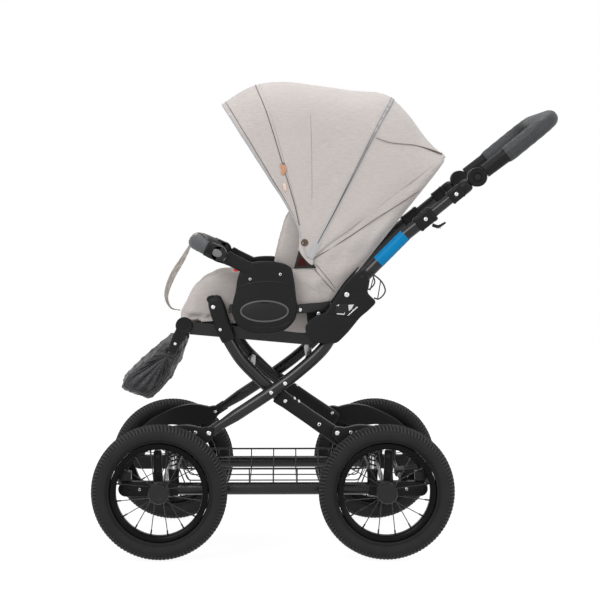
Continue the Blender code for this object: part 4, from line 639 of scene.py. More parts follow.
def build(name, parts, body, slot=None, replaces=(), smooth=38.0, weld=False):
    """One finished piece out of its parts, on its body, standing for its CAD nodes."""
    mesh = bpy.data.meshes.new(name)
    looks = list(dict.fromkeys(part["look"] for part in parts))
    corners, sizes, numbers, plans, points = [], [], [], [], []
    first = 0
    for part in parts:
        quads, caps = grid_faces(part)
        loops = [quads.ravel(), *caps]
        corners += [loop + first for loop in loops]
        plans += [part["uv"].reshape(-1, 2)[loop] for loop in loops]
        sizes += [np.full(len(quads), 4)] + [[len(cap)] for cap in caps]
        numbers.append(np.full(len(quads) + len(caps), looks.index(part["look"])))
        points.append(part["points"].reshape(-1, 3))
        first += len(points[-1])
    points, corners, sizes = np.vstack(points), np.concatenate(corners), np.concatenate(sizes)
    mesh.vertices.add(len(points))
    mesh.vertices.foreach_set("co", points.ravel())
    mesh.loops.add(len(corners))
    mesh.loops.foreach_set("vertex_index", corners.astype(np.int32))
    mesh.polygons.add(len(sizes))
    for key, values in (("loop_start", np.cumsum(sizes) - sizes), ("loop_total", sizes),
                        ("material_index", np.concatenate(numbers))):
        mesh.polygons.foreach_set(key, values)
    mesh.uv_layers.new(name="Plan").data.foreach_set("uv", np.vstack(plans).ravel())
    mesh.update(calc_edges=True)
    mesh.validate()
    bm = bmesh.new()
    bm.from_mesh(mesh)
    if weld:
        bmesh.ops.remove_doubles(bm, verts=bm.verts, dist=0.00001)
    bmesh.ops.recalc_face_normals(bm, faces=bm.faces)
    if weld:
        turn_outwards(bm)
    bm.to_mesh(mesh)
    bm.free()
    for look in looks:
        mesh.materials.append(LOOKS[look])
    mesh.shade_smooth()
    mesh.set_sharp_from_angle(angle=math.radians(smooth))
    piece = bpy.data.objects.new(name, mesh)
    bpy.context.scene.collection.objects.link(piece)
    if body:
        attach(piece, body)
    if replaces:
        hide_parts(*replaces)
    return piece


def pair(name, parts, body, slot, node=None, smooth=38.0):
    """A near piece and its mirrored twin on the far side, each on its body and for its CAD node."""
    for side, own in (("near", parts), ("far", mirrored(parts))):
        build(f"{name}_{side}_look", own, body.format(side), slot, (f"{node or name}_{side}",), smooth)


def read(items, key, width=1, kind=float):
    """One property of all of a mesh's items, as rows of the given width."""
    flat = np.empty(len(items) * width, kind)
    items.foreach_get(key, flat)
    return flat.reshape(-1, width) if width > 1 else flat


def apply_modifier(piece, kind, **values):
    step = piece.modifiers.new(kind.lower(), kind)
    for key, value in values.items():
        setattr(step, key, value)
    mesh = bpy.data.meshes.new_from_object(piece.evaluated_get(bpy.context.evaluated_depsgraph_get()))
    piece.modifiers.clear()
    old = piece.data
    piece.data = mesh
    bpy.data.meshes.remove(old)


def inflate(piece, voxel, pressure, cap, frames=20):
    """Voxel remesh, then a cloth simulation with air pressure and no gravity. A point moves at most
    cap from where it began, and the result is subdivided once."""
    apply_modifier(piece, "REMESH", mode="VOXEL", voxel_size=voxel)
    before = read(piece.data.vertices, "co", 3)
    cloth = piece.modifiers.new("cloth", "CLOTH")
    cloth.settings.use_pressure = True
    cloth.settings.uniform_pressure_force = pressure
    cloth.settings.effector_weights.gravity = 0.0
    cloth.settings.quality = 5
    cloth.point_cache.frame_end = frames
    scene = bpy.context.scene
    for frame in range(1, frames + 1):
        scene.frame_set(frame)
    evaluated = piece.evaluated_get(bpy.context.evaluated_depsgraph_get())
    step = read(evaluated.data.vertices, "co", 3) - before
    length = np.linalg.norm(step, axis=1, keepdims=True)
    piece.modifiers.clear()
    scene.frame_set(1)
    step *= np.minimum(1.0, cap / np.maximum(length, 1e-9))
    piece.data.vertices.foreach_set("co", (before + step).ravel())
    piece.data.update()
    apply_modifier(piece, "SUBSURF", levels=1)
    piece.data.shade_smooth()


def plan_again(piece):
    """Gives a remeshed piece its plan back: metres along X or up it, and across, by how each face
    points."""
    mesh = piece.data
    if mesh.uv_layers:
        return
    normals = read(mesh.polygons, "normal", 3)
    at = read(mesh.vertices, "co", 3)[read(mesh.loops, "vertex_index", kind=int)]
    side = np.repeat(np.abs(normals[:, 1]) > 0.6, read(mesh.polygons, "loop_total", kind=int))
    flat = np.column_stack([at[:, 0] + at[:, 2] * 0.6, at[:, 1]])
    plan = np.where(side[:, None], at[:, (0, 2)], flat)
    mesh.uv_layers.new(name="Plan").data.foreach_set("uv", plan.ravel())


# Wheels


def tyre_parts(centre, settings):
    """The tyre: a stepped side wall, rounded shoulders and a tread of small staggered blocks."""
    depth = TYRE_RADIUS - TYRE_SEAT_RADIUS
    half = settings.tyre_width / 2
    shape = [(0.0, 0.4), (0.06, 0.5), (0.12, 0.56), (0.15, 0.66), (0.2, 0.78), (0.3, 0.885), (0.42, 0.955),
        (0.54, 0.985), (0.56, 0.955), (0.6, 0.965), (0.68, 0.94), (0.76, 0.88), (0.84, 0.79), (0.9, 0.66),
        (0.95, 0.48), (0.985, 0.26), (1.0, 0.0)]
    side = even_points(smooth_points(shape, 4), 44)
    profile = np.vstack([side, side[-2::-1] * (1, -1)])
    radius = TYRE_SEAT_RADIUS + depth * profile[:, 0]
    across = -half * profile[:, 1]
    steps = 432
    turn = full_turn(steps)
    blocks = settings.tread_blocks
    reach, lean = profile[None, :, 0], profile[None, :, 1]
    phase = turn[:, None] / (2 * np.pi) * blocks + 0.6 * np.abs(lean) + 0.5 * (lean > 0)
    groove = np.clip(1.7 - np.abs(phase % 1.0 - 0.5) * 6.0, 0, 1)
    centre_groove = np.clip(1.3 - np.abs(np.abs(lean) - 0.3) * 14.0, 0, 1)
    on_tread = np.clip((reach - 0.7) / 0.05, 0, 1)
    cut = np.maximum(groove, centre_groove * (reach > 0.9)) * on_tread * settings.tread_depth
    r = radius[None, :] - cut
    y = across[None, :] * (1 - 0.04 * groove * on_tread)
    points = np.stack([centre[0] + r * np.cos(turn)[:, None], centre[1] + y + 0 * r,
        centre[2] + r * np.sin(turn)[:, None]], axis=-1)
    split = 22
    # the plan's first coordinate places the tread look's painted groove shade and painted light on the block
    # tops
    plan = np.stack([phase, on_tread + 0 * phase], axis=-1)
    count = len(radius)
    walls = [grid(points[:, :split + 1], "rubber", True, False), grid(points[:, split:count - split],
        "tread", True, False, uv=plan[:, split:count - split]), grid(points[:, count - split - 1:],
        "rubber", True, False)]
    inner = np.stack([points[:, -1], points[:, 0]], axis=1)
    return walls + [grid(inner, "rubber", True, False)]


def turned_ring(profile, centre, look, steps):
    """A closed profile turned about the axle."""
    return grid(np.swapaxes(lathe(profile, centre, look, steps)["points"], 0, 1), look, True, True)


def rim_parts(centre, side):
    """The rim's channel, the hub with its two flanges, and laced spokes with nipples."""
    x, y, z = centre
    seat = TYRE_SEAT_RADIUS - 0.0012
    channel = [(RIM_INNER_RADIUS, -0.0105), (0.1015, -0.0128), (0.1075, -0.0142), (seat - 0.0015, -0.015),
        (seat, -0.014), (seat, 0.014), (seat - 0.0015, 0.015), (0.1075, 0.0142), (0.1015, 0.0128),
        (RIM_INNER_RADIUS, 0.0105), (0.0985, 0.0085), (0.0985, -0.0085)]
    bore = AXLE_RADIUS + 0.0003
    hub = [(bore, -0.0195), (0.0125, -0.02), (0.0148, -0.0185), (0.015, -0.017), (0.0228, -0.0165), (0.023,
        -0.0145), (0.016, -0.0125), (0.0128, -0.01), (0.0126, 0.01), (0.016, 0.0125), (0.023, 0.0145),
        (0.0228, 0.0165), (0.015, 0.017), (0.0148, 0.0185), (0.0125, 0.02), (bore, 0.0195)]
    cap = mm(24, -19, 24, -24, 22.5, -26.2, 19, -27.2, 13, -27.4, 12, -26.8, 6, -26.6, 0.2, -26.6)
    parts = [turned_ring(channel, centre, "rim_paint", 144), turned_ring(hub, centre, "smooth_plastic", 64),
        lathe(cap * (1, -side), centre, "smooth_plastic", 64)]
    k = np.arange(16)
    at_rim = 2 * np.pi * (k + 0.5) / 16
    at_hub = at_rim + 0.35 * np.where(k % 4 < 2, 1, -1)
    flange = 0.0155 * np.where(k % 2, 1, -1)
    for rim_angle, hub_angle, offset in zip(at_rim, at_hub, flange):
        start = in_plane([polar(0.0195, hub_angle) + (x, z)], y + offset)
        stop = in_plane([polar(0.1, rim_angle) + (x, z)], y + offset * 0.12)
        line = start + (stop - start) * np.array([0, 0.84, 0.85, 0.86, 0.99, 1.0])[:, None]
        parts.append(tube(line, np.array([1.05, 1.05, 1.05, 1.9, 1.9, 1.6]) / 1000, "wire", 10))
    return parts


def axle_parts(x):
    reach = TRACK_HALF + 0.018
    collar = mm(6.2, -5, 10.5, -5, 11, -4, 11, 4, 10.5, 5, 6.2, 5)
    return [bar((x, AXLE_Z), -reach, reach, AXLE_RADIUS, "bare_steel"), *(lathe(collar, (x, y, AXLE_Z),
        "plastic", 40) for y in (-0.2415, 0.2415))]


# Lower frame


def rail_parts():
    """The near rail: round tube, two cast ends with lips and bolts, struts and spring cups."""
    y, front, half = -RAIL_Y, AXLE_X["front"], 0.0145
    arc = np.radians(np.linspace(90, 270, 15))
    tip, root = (CAST_TIP_X, AXLE_Z), (front, AXLE_Z)
    outline = np.vstack([polar(0.017, arc) + tip, mm(22, -17, 30, -15.5, 40, -15, 40, 15, 30, 15.5, 22,
        17) + root])
    lip = np.vstack([polar(0.0105, arc) + tip, mm(20, -10.5, 20, 10.5) + root])
    strut = mm(-12, 165, 12, 165, 9, 200, 8, 243.5, -10, 243.5, -10, 200) + (STRUT_X, 0)
    collar = mm(6.4, -21.5, 10, -21.5, 12.5, -19, 12.5, -14, 6.4, -14)
    cup = mm(0.2, 160, 11.8, 160, 12.2, 190, 13, 194, 13, 198.5, 12.4, 200, 0.2, 200)
    pin = mm(0.2, 199.5, 6, 199.5, 6, 230, 4.5, 232.5, 0.2, 233)
    ends = [plate(outline, y - half, y + half, "plastic", 0.0035), slab(lip, 0.004, y - half - 0.0008,
        y - half + 0.002, "plastic", 0.0007), screw(front - 0.048, AXLE_Z, y - half - 0.0004, radius=0.004),
        screw(front - 0.072, AXLE_Z, y - half - 0.0004, "smooth_plastic", 0.004), lathe(collar, (front, y,
        AXLE_Z), "plastic", 40), slab(strut, 0.005, y - 0.011, y + 0.011, "plastic", 0.003), bar((STRUT_X,
        0.231), y - 0.0125, y + 0.0125, 0.0055, "smooth_plastic"), screw(STRUT_X, 0.196, y - 0.0112,
        "smooth_plastic", 0.0042), lathe(cup, (SPRING_X, y, 0.0), "plastic", 40, axis="z"), lathe(pin,
        (SPRING_X, y, 0.0), "bright_steel", 32, axis="z")]
    between = rod((front + 0.01, y, AXLE_Z), (AXLE_X["rear"] - 0.01, y, AXLE_Z), 0.01425, "paint", sides=36)
    return ends + rear_copy(ends) + [between]


def hoop_parts(pivot_bolt_depth, with_fork):
    """One C-shaped arm: a moulded blade with a raised rib on its flank, rivets and a bare label."""
    y0, y1 = -RAIL_Y - 0.012, -RAIL_Y + 0.012
    outline = band(HOOP_LINE, HOOP_HALVES)
    if with_fork:
        parts = [plate(outline, y0, y0 + 0.0052, "plastic", 0.0018), plate(outline, y0 + 0.0167, y1,
            "plastic", 0.0018), plate(band(HOOP_LINE[2:], HOOP_HALVES[2:]), y0 + 0.001, y1 - 0.001,
            "plastic", 0.0022)]
    else:
        parts = [plate(outline, y0, y1, "plastic", 0.003)]
    groove = band(HOOP_LINE[3:], [h * 0.52 for h in HOOP_HALVES[3:]])
    clamp = band(mm(1, 22, 0.5, 0) + HOOP_LINE[-1], (0.0125, 0.0122), 4)
    return parts + [plate(groove, y0 - 0.0009, y0 + 0.002, "plastic", 0.0008), *screws(mm(-300.5, 286, -304,
        269, -339.5, 269), y0 - 0.0002, radius=0.0042), slab(mm(-328, 279, -310, 280, -311, 289.5, -328,
        288.5), 0.002, y0 - 0.0007, y0 + 0.001, "label", 0.0003), bar(FRONT_PIVOT, y0 - 0.0013,
        pivot_bolt_depth, 0.004, "bright_steel"), screw(*FRONT_PIVOT, y0 - 0.001, radius=0.0055),
        slab(clamp, 0.003, y0 - 0.0012, y1 + 0.0012, "smooth_plastic", 0.0015)]


def spring_part(x):
    """A coil on its cup: the angle turns four times while the height rises evenly."""
    wire, turns = 0.0017, 4
    low, high = 0.2 + wire + 0.0003, 0.2475 - wire - 0.0003
    share = np.linspace(0, 1, turns * 40)
    path = np.column_stack([polar(0.0088, share * turns * 2 * np.pi) + (x, -RAIL_Y),
        low + (high - low) * share])
    return tube(path, wire, "smooth_plastic", 12, ref=(0, 0, 1))


def basket_parts():
    """The wire tray: rim hoop, cross wires, floor wires and the hooks over the rails."""
    w, (x0, x1), top, low = BASKET_HALF_WIDTH, BASKET_X, BASKET_RIM_Z, BASKET_FLOOR_Z
    corner, drop, wire, count, pitch = 0.035, 0.018, 0.00155, 7, 0.0556
    rim = np.vstack([polar(corner, np.radians(np.arange(start, start + 91, 10))) + place for start,
        place in ((0, (x1 - corner, w - corner)), (90, (x0 + corner, w - corner)), (180, (x0 + corner,
        corner - w)), (270, (x1 - corner, corner - w)))])
    parts = [tube(np.column_stack([rim, np.full(len(rim), top)]), 0.0022, "wire", 14, (0, 0, 1),
        close=True)]

    def bent(points, radii, ref):
        parts.append(tube(bent_path(points, radii, 8), wire, "wire", 12, ref))

    start = (x0 + x1 - (count - 1) * pitch) / 2
    for x in start + pitch * np.arange(count):
        bent([(x, -w, top), (x, -w + drop, low), (x, w - drop, low), (x, w, top)], (0.012, 0.012), (1, 0,
            0))
    for y in np.linspace(-w + 2 * drop, w - 2 * drop, 4):
        bent([(x0, y, top), (x0 + drop, y, low + wire), (x1 - drop, y, low + wire), (x1, y, top)], (0.012,
            0.012), (0, 1, 0))
    for x in (start + pitch / 2, start + (count - 1.5) * pitch):
        for side in (-1, 1):
            bent([(x, side * w, top), (x, side * (RAIL_Y - 0.012), top - 0.002), (x, side * RAIL_Y,
                AXLE_Z + 0.01425 + wire)], (0.008,), (1, 0, 0))
    return parts


def brake_parts():
    """The brake's cross bar with its end arms, and the ribbed foot pedal."""
    reach = RAIL_Y - 0.0148
    pedal = mm(-10, -6, 6, -10, 40, 4, 52, 14, 50, 19, 36, 13, 4, 10, -8, 8) + BRAKE_AXIS
    rib = mm(14, 9.5, 36, 12, 44, 14.5, 44, 16.5, 35, 14.5, 14, 12) + BRAKE_AXIS
    arm = mm(-9, -9, 9, -9, 7, 30, -7, 30) + BRAKE_AXIS
    return [bar(BRAKE_AXIS, -reach, reach, 0.006, "paint", 28), slab(pedal, 0.004, -0.032, 0.032, "plastic",
        0.003), *(plate(rib, y - 0.002, y + 0.002, "plastic", 0.0008) for y in np.linspace(-0.022, 0.022,
        5)), *(slab(arm, 0.006, y, y + 0.004, "plastic", 0.001) for y in (-reach, reach - 0.004))]


# Cross frame


def leg_path(points, y, per_span=10):
    return in_plane(smooth_points(points, per_span), y)


def outer_leg_parts():
    """A bent leg tube, thin at its foot, where a flat tongue with an eye takes the pivot."""
    path = leg_path([along(FRONT_PIVOT, OUTER_LEG[0], 0.0185), *OUTER_LEG], -OUTER_LEG_Y)
    radii = np.full(len(path), LEG_RADIUS)
    radii[:8] = np.linspace(0.0095, LEG_RADIUS, 8)
    tongue = band([FRONT_PIVOT, along(FRONT_PIVOT, OUTER_LEG[0], 0.03)], (0.012, 0.012), 4)
    return [tube(path, radii, "paint", 32), *(plate(shape, -OUTER_LEG_Y - 0.005, -OUTER_LEG_Y + 0.005,
        "paint", 0.0015) for shape in (tongue, circle(0.0125, 40) + FRONT_PIVOT)), *screws(mm(-95, 398.5,
        -127, 377.5), -OUTER_LEG_Y - LEG_RADIUS + 0.0004)]


def bracket_parts():
    """The moulded joint: lower housing, upper cheek with its ribs, latch window and rivets."""
    y0, inner_face = -0.234, -0.2205
    outline = smooth_points(round_corners(BRACKET_OUTLINE, 0.01, 4), 2, closed=True)
    lower = mm(-48.5, 528.5, -44, 505, -32, 492, 23, 490, 50, 517, 62, 532, 35, 560, 14, 578, -4, 560, -33,
        548)
    shell = mm(-48.5, 528.5, -44, 507, -32, 494.5, 10, 491.5, 44, 515, 69, 545.5, 44.3, 551.5, 10, 556,
        -18.2, 556.5, -38, 543)
    window = mm(18, 560, 24, 581, 64, 582, 70, 572, 50, 556)
    latch = (mm(49, 579, 62, 580, 56, 569, 50.5, 565), mm(21.4, 577.5, 29, 580, 27, 575.7), mm(22.6, 560,
        40, 559, 43.6, 564, 40, 556, 22.6, 557.5), mm(47, 554.5, 50, 554.5, 71.5, 574, 69, 575.5))
    return [plate(outline, y0, inner_face, "plastic", 0.0045, 5), plate(round_corners(lower, 0.01),
        inner_face - 0.002, -0.194, "plastic", 0.0045, 5), plate(smooth_points(shell, 5, closed=True),
        y0 - 0.004, y0 + 0.004, "plastic", 0.0034, 5, crown=0.0012), slab(window, 0.003, y0 - 0.0007,
        y0 + 0.002, "smooth_plastic", 0.0006), *(slab(shape, 0.001, y0 - 0.0014, y0 + 0.001, "bright_steel",
        0.0003) for shape in latch), screw(*BRACKET_PIVOT, y0 - 0.0012, radius=0.0058, rise=0.002),
        *screws(mm(80, 642, -30, 530), y0 - 0.0002, "smooth_plastic"), bar(BRACKET_PIVOT, y0 + 0.002,
        -0.197, 0.004, "bright_steel")]


def wire_loop_parts():
    """The D-shaped loop of wire behind the bracket and its two thinner cross wires."""
    return [tube(in_plane(smooth_points(WIRE_LOOP, 8), -WIRE_LOOP_Y), 0.0017, "wire", 14),
        *(tube(in_plane(even_points(ends, 4), -WIRE_LOOP_Y), 0.0012, "wire",
        10) for ends in WIRE_LOOP_BARS)]


def sleeve_parts():
    """The sleeve at the leg's foot: rounded box section, end lip, rivets and a bright latch."""
    top, y = INNER_LEG[0], -INNER_LEG_Y
    length = math.dist(top, REAR_PIVOT)
    ends = [along(REAR_PIVOT, top, d) for d in (-0.014, -0.0125, -0.009, 0.0, length * 0.5, length - 0.01,
        length + 0.01, length + 0.0165, length + 0.018)]
    parts = [boxed(ends, y, 0.018, 0.0167, 0.009, (0.8, 0.93, 1.0, 1.0, 0.93, 0.93, 1.0, 1.0, 0.93))]
    for distance, rise in ((0.0, 0.0), (0.05, 0.0012), (length - 0.004, 0.0)):
        parts.append(screw(*along(REAR_PIVOT, top, distance), y - 0.0167 + rise, radius=0.0046))
    for distance in (length - 0.03, length - 0.018):
        place = along(REAR_PIVOT, top, distance) + (0.01, 0.012)
        parts.append(bar(place, y - 0.012, y + 0.012, 0.003, "bright_steel"))
    return parts


def top_sleeve_parts():
    """The swollen cap on the leg's top, with its little ear and a rivet."""
    line = smooth_points(TOP_SLEEVE, 8)
    widths = np.interp(np.linspace(0, 1, len(line)), (0.0, 0.06, 0.25, 0.7, 0.9, 0.97, 1.0), (0.0155, 0.017,
        0.0185, 0.0185, 0.0155, 0.0115, 0.006))
    section = rounded(1.0, 1.0, 0.5) * np.stack([widths, np.minimum(widths, 0.0167)], axis=-1)[:, None, :]
    y = -INNER_LEG_Y
    ear = mm(-276.5, 588, -273.5, 596, -260, 600, -256, 590, -266, 575)
    return [grid(sweep(in_plane(line, y), section), "plastic"), screw(-0.26, 0.572, y - 0.0166,
        radius=0.0048), screw(-0.244, 0.52, y - 0.0164, radius=0.004), slab(ear, 0.004, y - 0.011,
        y - 0.002, "plastic", 0.0014)]


def cross_tube_parts(at, y, radius=0.009):
    """A tube from leg to leg with a cuff at either end."""
    reach = y - LEG_RADIUS + 0.003
    cuff = mm(0.2, -8, 2.8, -7.5, 3, 6, 1.6, 8, 0.2, 8) + (radius, 0)
    return [bar(at, -reach, reach, radius, "paint", 28), *(lathe(cuff, (at[0], side * (reach - 0.012),
        at[1]), "plastic", 32) for side in (-1, 1))]


def spreader_parts():
    """The flat bar under the seat, its adaptor block and the rivets along it."""
    y0, y1 = -0.1935, -0.1855
    outline = mm(-227, 556.5, -80, 555.5, -12, 560.5, 8, 568.5, 10, 586.5, -10, 582.5, -80, 576.5, -223,
        578.5)
    top = SEAT_BOSS[1] - 0.0163
    block = [(-0.174, 0.5745), (-0.106, 0.5745), (-0.114, top), (-0.166, top)]
    return [slab(outline, 0.005, y0, y1, "paint", 0.0012), slab(block, 0.004, y0, y1 + 0.006, "plastic",
        0.0012), *screws(mm(-18, 556, -200, 567.5, -60, 565), y0 - 0.0002, radius=0.0046)]


# Handle


def handle_tube_parts(near):
    """Lower tube with its bend, two clamps with lips and rivets, and the thinner upper tube."""
    y = -HANDLE_Y
    low = bent_path([along(BRACKET_PIVOT, HANDLE_BEND, -0.004), HANDLE_BEND, CLAMP_POINT], (0.06,), 12)
    high = even_points([CLAMP_POINT, SECOND_CLAMP_POINT, along(TILT_CENTRE, SECOND_CLAMP_POINT,
        TILT_RADIUS)], 12)
    parts = [tube(in_plane(low, y), 0.0145, "paint", 36), tube(in_plane(high, y), 0.0118, "paint", 32)]
    for point, before, reach, half in ((CLAMP_POINT, HANDLE_BEND, 0.024, 0.0185), (SECOND_CLAMP_POINT,
            CLAMP_POINT, 0.017, 0.0165)):
        line = [along(point, before, -reach * station) for station in (-1.0, -0.94, -0.8, -0.72, -0.68, 0.6,
            0.64, 0.72, 0.8, 0.94, 1.0)]
        grow = (0.86, 0.96, 1.0, 1.0, 0.95, 0.95, 1.0, 1.0, 0.98, 0.95, 0.86)
        parts += [boxed(line, y, half, half, 0.0075, grow), screw(*point, y - half * 0.955, radius=0.005,
            rise=0.002)]
    sleeve = [along(SECOND_CLAMP_POINT, TILT_CENTRE, d) for d in (0.016, 0.018, 0.03, 0.036, 0.04)]
    parts.append(tube(in_plane(sleeve, y), (0.015, 0.016, 0.016, 0.015, 0.0125), "plastic", 32))
    if near:
        line = even_points([along(HANDLE_BEND, BRACKET_PIVOT, d) for d in (0.092, 0.006)], 8)
        parts.append(grid(sweep(in_plane(line, y), circle(0.01475, 48)), "blue_band"))
    return parts


def lever_parts():
    """The fold lever: a short blade that thins out, with three grooves' ribs under it."""
    y = -HANDLE_Y
    blade = band(mm(0, 0, 14, -3, 30, 6) + LEVER_PIVOT, (0.004, 0.0034, 0.002))
    rib = mm(-0.8, -7.8, 0.8, -7.8, 0.8, -6, -0.8, -6) + LEVER_PIVOT
    return [plate(blade, y - 0.007, y + 0.007, "smooth_plastic", 0.0018), *(plate(rib + (x, 0), y - 0.006,
        y + 0.006, "plastic", 0.0003) for x in (0.01, 0.014, 0.018))]


def disc_parts():
    """The round tilt joint: rim, dished face, a ring of teeth and its middle button."""
    place = (TILT_CENTRE[0], -HANDLE_Y, TILT_CENTRE[1])
    profile = mm(0.2, -17, 9, -17, 9.6, -18.6, 11.2, -18.6, 12, -16.8, 17.5, -17, 18.5, -18, 21, -17.4, 22,
        -15.8, 22, -1.2, 20.4, -0.6, 20.4, 0.6, 22, 1.2, 22, 15.8, 21, 17.4, 18.5, 18, 0.2, 18)
    return [lathe(profile, place, "plastic", 64), lathe(mm(0.2, -18.2, 7, -18.2, 8.4, -17, 8.6, -15), place,
        "smooth_plastic", 40)]


def grip_parts():
    """The U-shaped grip: leatherette tube with a stitched seam on its inner side and end cuffs."""
    start = along(TILT_CENTRE, GRIP_START, TILT_RADIUS + 0.0003)
    near = in_plane([start, GRIP_START, GRIP_END], -HANDLE_Y)
    path = even_points(bent_path([*near, *near[::-1] * (1, -1, 1)], (0.2, 0.055, 0.055, 0.2), 16), 260)
    length = lengths(path)
    from_end = np.minimum(length, length[-1] - length)
    neck = math.dist(GRIP_START, start) * 0.9
    radii = np.interp(from_end, (0.0, neck - 0.004, neck, neck + 0.003, neck + 0.01), (0.016, 0.0164,
        0.0172, 0.0186, 0.0195))
    normal = unit(np.array([GRIP_END[1] - start[1], 0, start[0] - GRIP_END[0]]))
    turn = full_turn(48)
    padded = (from_end > neck)[:, None]
    seam = 0.0009 * np.exp(-((turn - np.pi) / 0.09)**2) * padded
    wrinkle = 0.00025 * np.sin(length[:, None] * 260 + 5 * np.cos(turn)) * padded
    rings = sweep(path, polar(radii[:, None] - seam + wrinkle, turn), normal)
    cut = int(np.argmax(from_end > neck))
    end = len(path) - cut
    return [grid(rings[:cut + 1], "plastic"), grid(rings[cut:end], "leather"), grid(rings[end - 1:],
        "plastic"), *seam_stitches(path[cut:end], 0.0196, 0.16, normal)]


def stitch_parts(line, pitch=0.0062):
    """A row of stitches along a line: short bars, each 0.62 of the pitch long."""
    at = lengths(line)
    starts = (np.arange(max(1, int(at[-1] / pitch))) + 0.2) * pitch
    t = starts[:, None] + pitch * 0.62 * np.linspace(0, 1, 4)
    centre = np.stack([np.interp(t, at, line[:, k]) for k in range(3)], axis=-1)
    tangent = unit(centre[:, -1] - centre[:, 0])[:, None]
    side = unit(np.cross(tangent, (0.31, 0.52, 0.79)))
    ring = circle(0.0004, 5)
    taper = np.array([0.5, 1.0, 1.0, 0.5])[:, None, None]
    points = centre[:, :, None] + taper * (ring[:, :1] * side[:, :, None] + ring[:, 1:] * np.cross(side,
        tangent)[:, :, None])
    return [grid(block, "stitch", uv=np.zeros(block.shape[:2] + (2,))) for block in points]


def seam_stitches(path, radius, offset, normal):
    """Two rows of stitches beside the seam on the inner side of a tube."""
    a, b = polar(radius, math.pi - offset)
    rows = (sweep(path, [[a, flip * b]], normal)[:, 0] for flip in (1, -1))
    return [stitch for row in rows for stitch in stitch_parts(row)]


# Seat unit, hard parts

HOUSING_HALF = 0.011
EYE_HALF = 0.015
EYE_RADIUS = 0.0185
RAIL_PLATE_FACE = 0.1615
BUMPER_RADIUS = 0.0165


def oval(centre, half_x, half_z, steps=64):
    return circle(1.0, steps) * (half_x, half_z) + centre


def housing_parts():
    """The egg-shaped cover: crowned face, arched step, oval ring round a bare dish, two screws."""
    y, y0, y1 = -HOUSING_Y, -HOUSING_Y - HOUSING_HALF, -HOUSING_Y + HOUSING_HALF
    face = y0 - 0.0019
    dish = oval(BADGE_CENTRE, BADGE_HALF[0] - 0.0025, BADGE_HALF[1] - 0.0025)
    parts = [plate(smooth_points(HOUSING_OUTLINE, 6, closed=True), y0, y1, "plastic", 0.005, 7,
        crown=0.0022), tube(in_plane(oval(BADGE_CENTRE, *BADGE_HALF), face + 0.0008), 0.0021, "grey_edge",
        14, close=True), plate(dish, face - 0.0002, face + 0.004, "badge", 0.0004, 2)]
    for depth, line in ((0.0011, mm(-199, 620, -175, 627.5, -138.9, 631.5, -102, 629, -80, 622.5)), (0.0016,
            mm(-200, 539, -175, 528.5, -138.9, 525, -102, 529.5, -79, 544))):
        ridge = in_plane(smooth_points(line, 10), face + depth)
        parts.append(tube(ridge, 0.0016 * np.sin(np.linspace(0.15, math.pi - 0.15, len(ridge)))**0.5,
            "smooth_plastic", 10))
    line = even_points([along(SOCKET_ROOT, BUMPER_JOINT, -0.014), SOCKET_ROOT, along(BUMPER_JOINT,
        SOCKET_ROOT, EYE_RADIUS + 0.0003)], 16)
    grow = np.interp(np.linspace(0, 1, 16), (0.0, 0.1, 0.8, 0.86, 0.95, 1.0), (0.82, 0.95, 0.95, 1.0, 1.0,
        0.94))
    back = math.atan2(SOCKET_ROOT[1] - BUMPER_JOINT[1], SOCKET_ROOT[0] - BUMPER_JOINT[0])
    hollow = polar(EYE_RADIUS + 0.0004, back + np.radians(np.linspace(-76, 30, 24))) + BUMPER_JOINT
    tip = along(BUMPER_JOINT, SOCKET_ROOT, EYE_RADIUS + 0.006)
    across = polar(0.0148, back + math.pi / 2)
    return parts + [*screws(mm(-175, 637, -106, 648), y0 - 0.0004, radius=0.0036), *screws(mm(-80, 590,
        -195, 525), y0 + 0.001, "smooth_plastic", 0.003), bar(SEAT_BOSS, y1 - 0.002,
        -RAIL_PLATE_FACE - 0.0003, 0.016, "plastic", 36), boxed(line, y, 0.0155, 0.0145, 0.0085, grow),
        plate([*hollow, tip + across, tip - across], y - 0.0145, y + 0.0145, "plastic", 0.0005, 2),
        plate(oval(RED_TAB, 0.0065, 0.0036), y - 0.007, y + 0.007, "button_red", 0.001)]


def bumper_parts():
    """The padded bow between its two joints, its stitches, and each joint's eye, cuff and block."""
    (x, z), y = BUMPER_JOINT, HOUSING_Y
    near = in_plane([BUMPER_JOINT, BUMPER_FRONT], -y)
    path = even_points(bent_path([*near, *near[::-1] * (1, -1, 1)], (0.06, 0.06), 20), 240)
    normal = unit(np.array([BUMPER_FRONT[1] - z, 0, x - BUMPER_FRONT[0]]))
    parts = [bumper_tube(path, normal), *seam_stitches(path[24:-24], BUMPER_RADIUS + 0.0001, 0.17, normal)]
    low = np.array([(0.0002, -EYE_HALF), (0.0165, -EYE_HALF), (0.018, -EYE_HALF + 0.0008), (EYE_RADIUS,
        -EYE_HALF + 0.0024)])
    eye = lathe(np.vstack([low, low[::-1] * (1, -1)]), (x, -y, z), "smooth_plastic", 64)
    sleeve = [along(BUMPER_JOINT, BUMPER_FRONT, d) for d in (0.012, 0.014, 0.026, 0.03, 0.032)]
    cuff = tube(in_plane(sleeve, -y), (0.015, 0.0172, 0.018, 0.018, 0.0168), "plastic", 40)
    ahead = unit(np.subtract(BUMPER_FRONT, BUMPER_JOINT))
    across = np.array([-ahead[1], ahead[0]]) * (EYE_RADIUS - 0.0006)
    block = [np.array(BUMPER_JOINT) + ahead * d + across * s for d, s in ((-0.001, -1), (0.022, -1), (0.026,
        -0.8), (0.026, 0.8), (0.022, 1), (-0.001, 1))]
    own = [eye, cuff, slab(block, 0.002, -y - EYE_HALF, -y + EYE_HALF, "smooth_plastic", 0.0018)]
    return parts + own + mirrored(own)


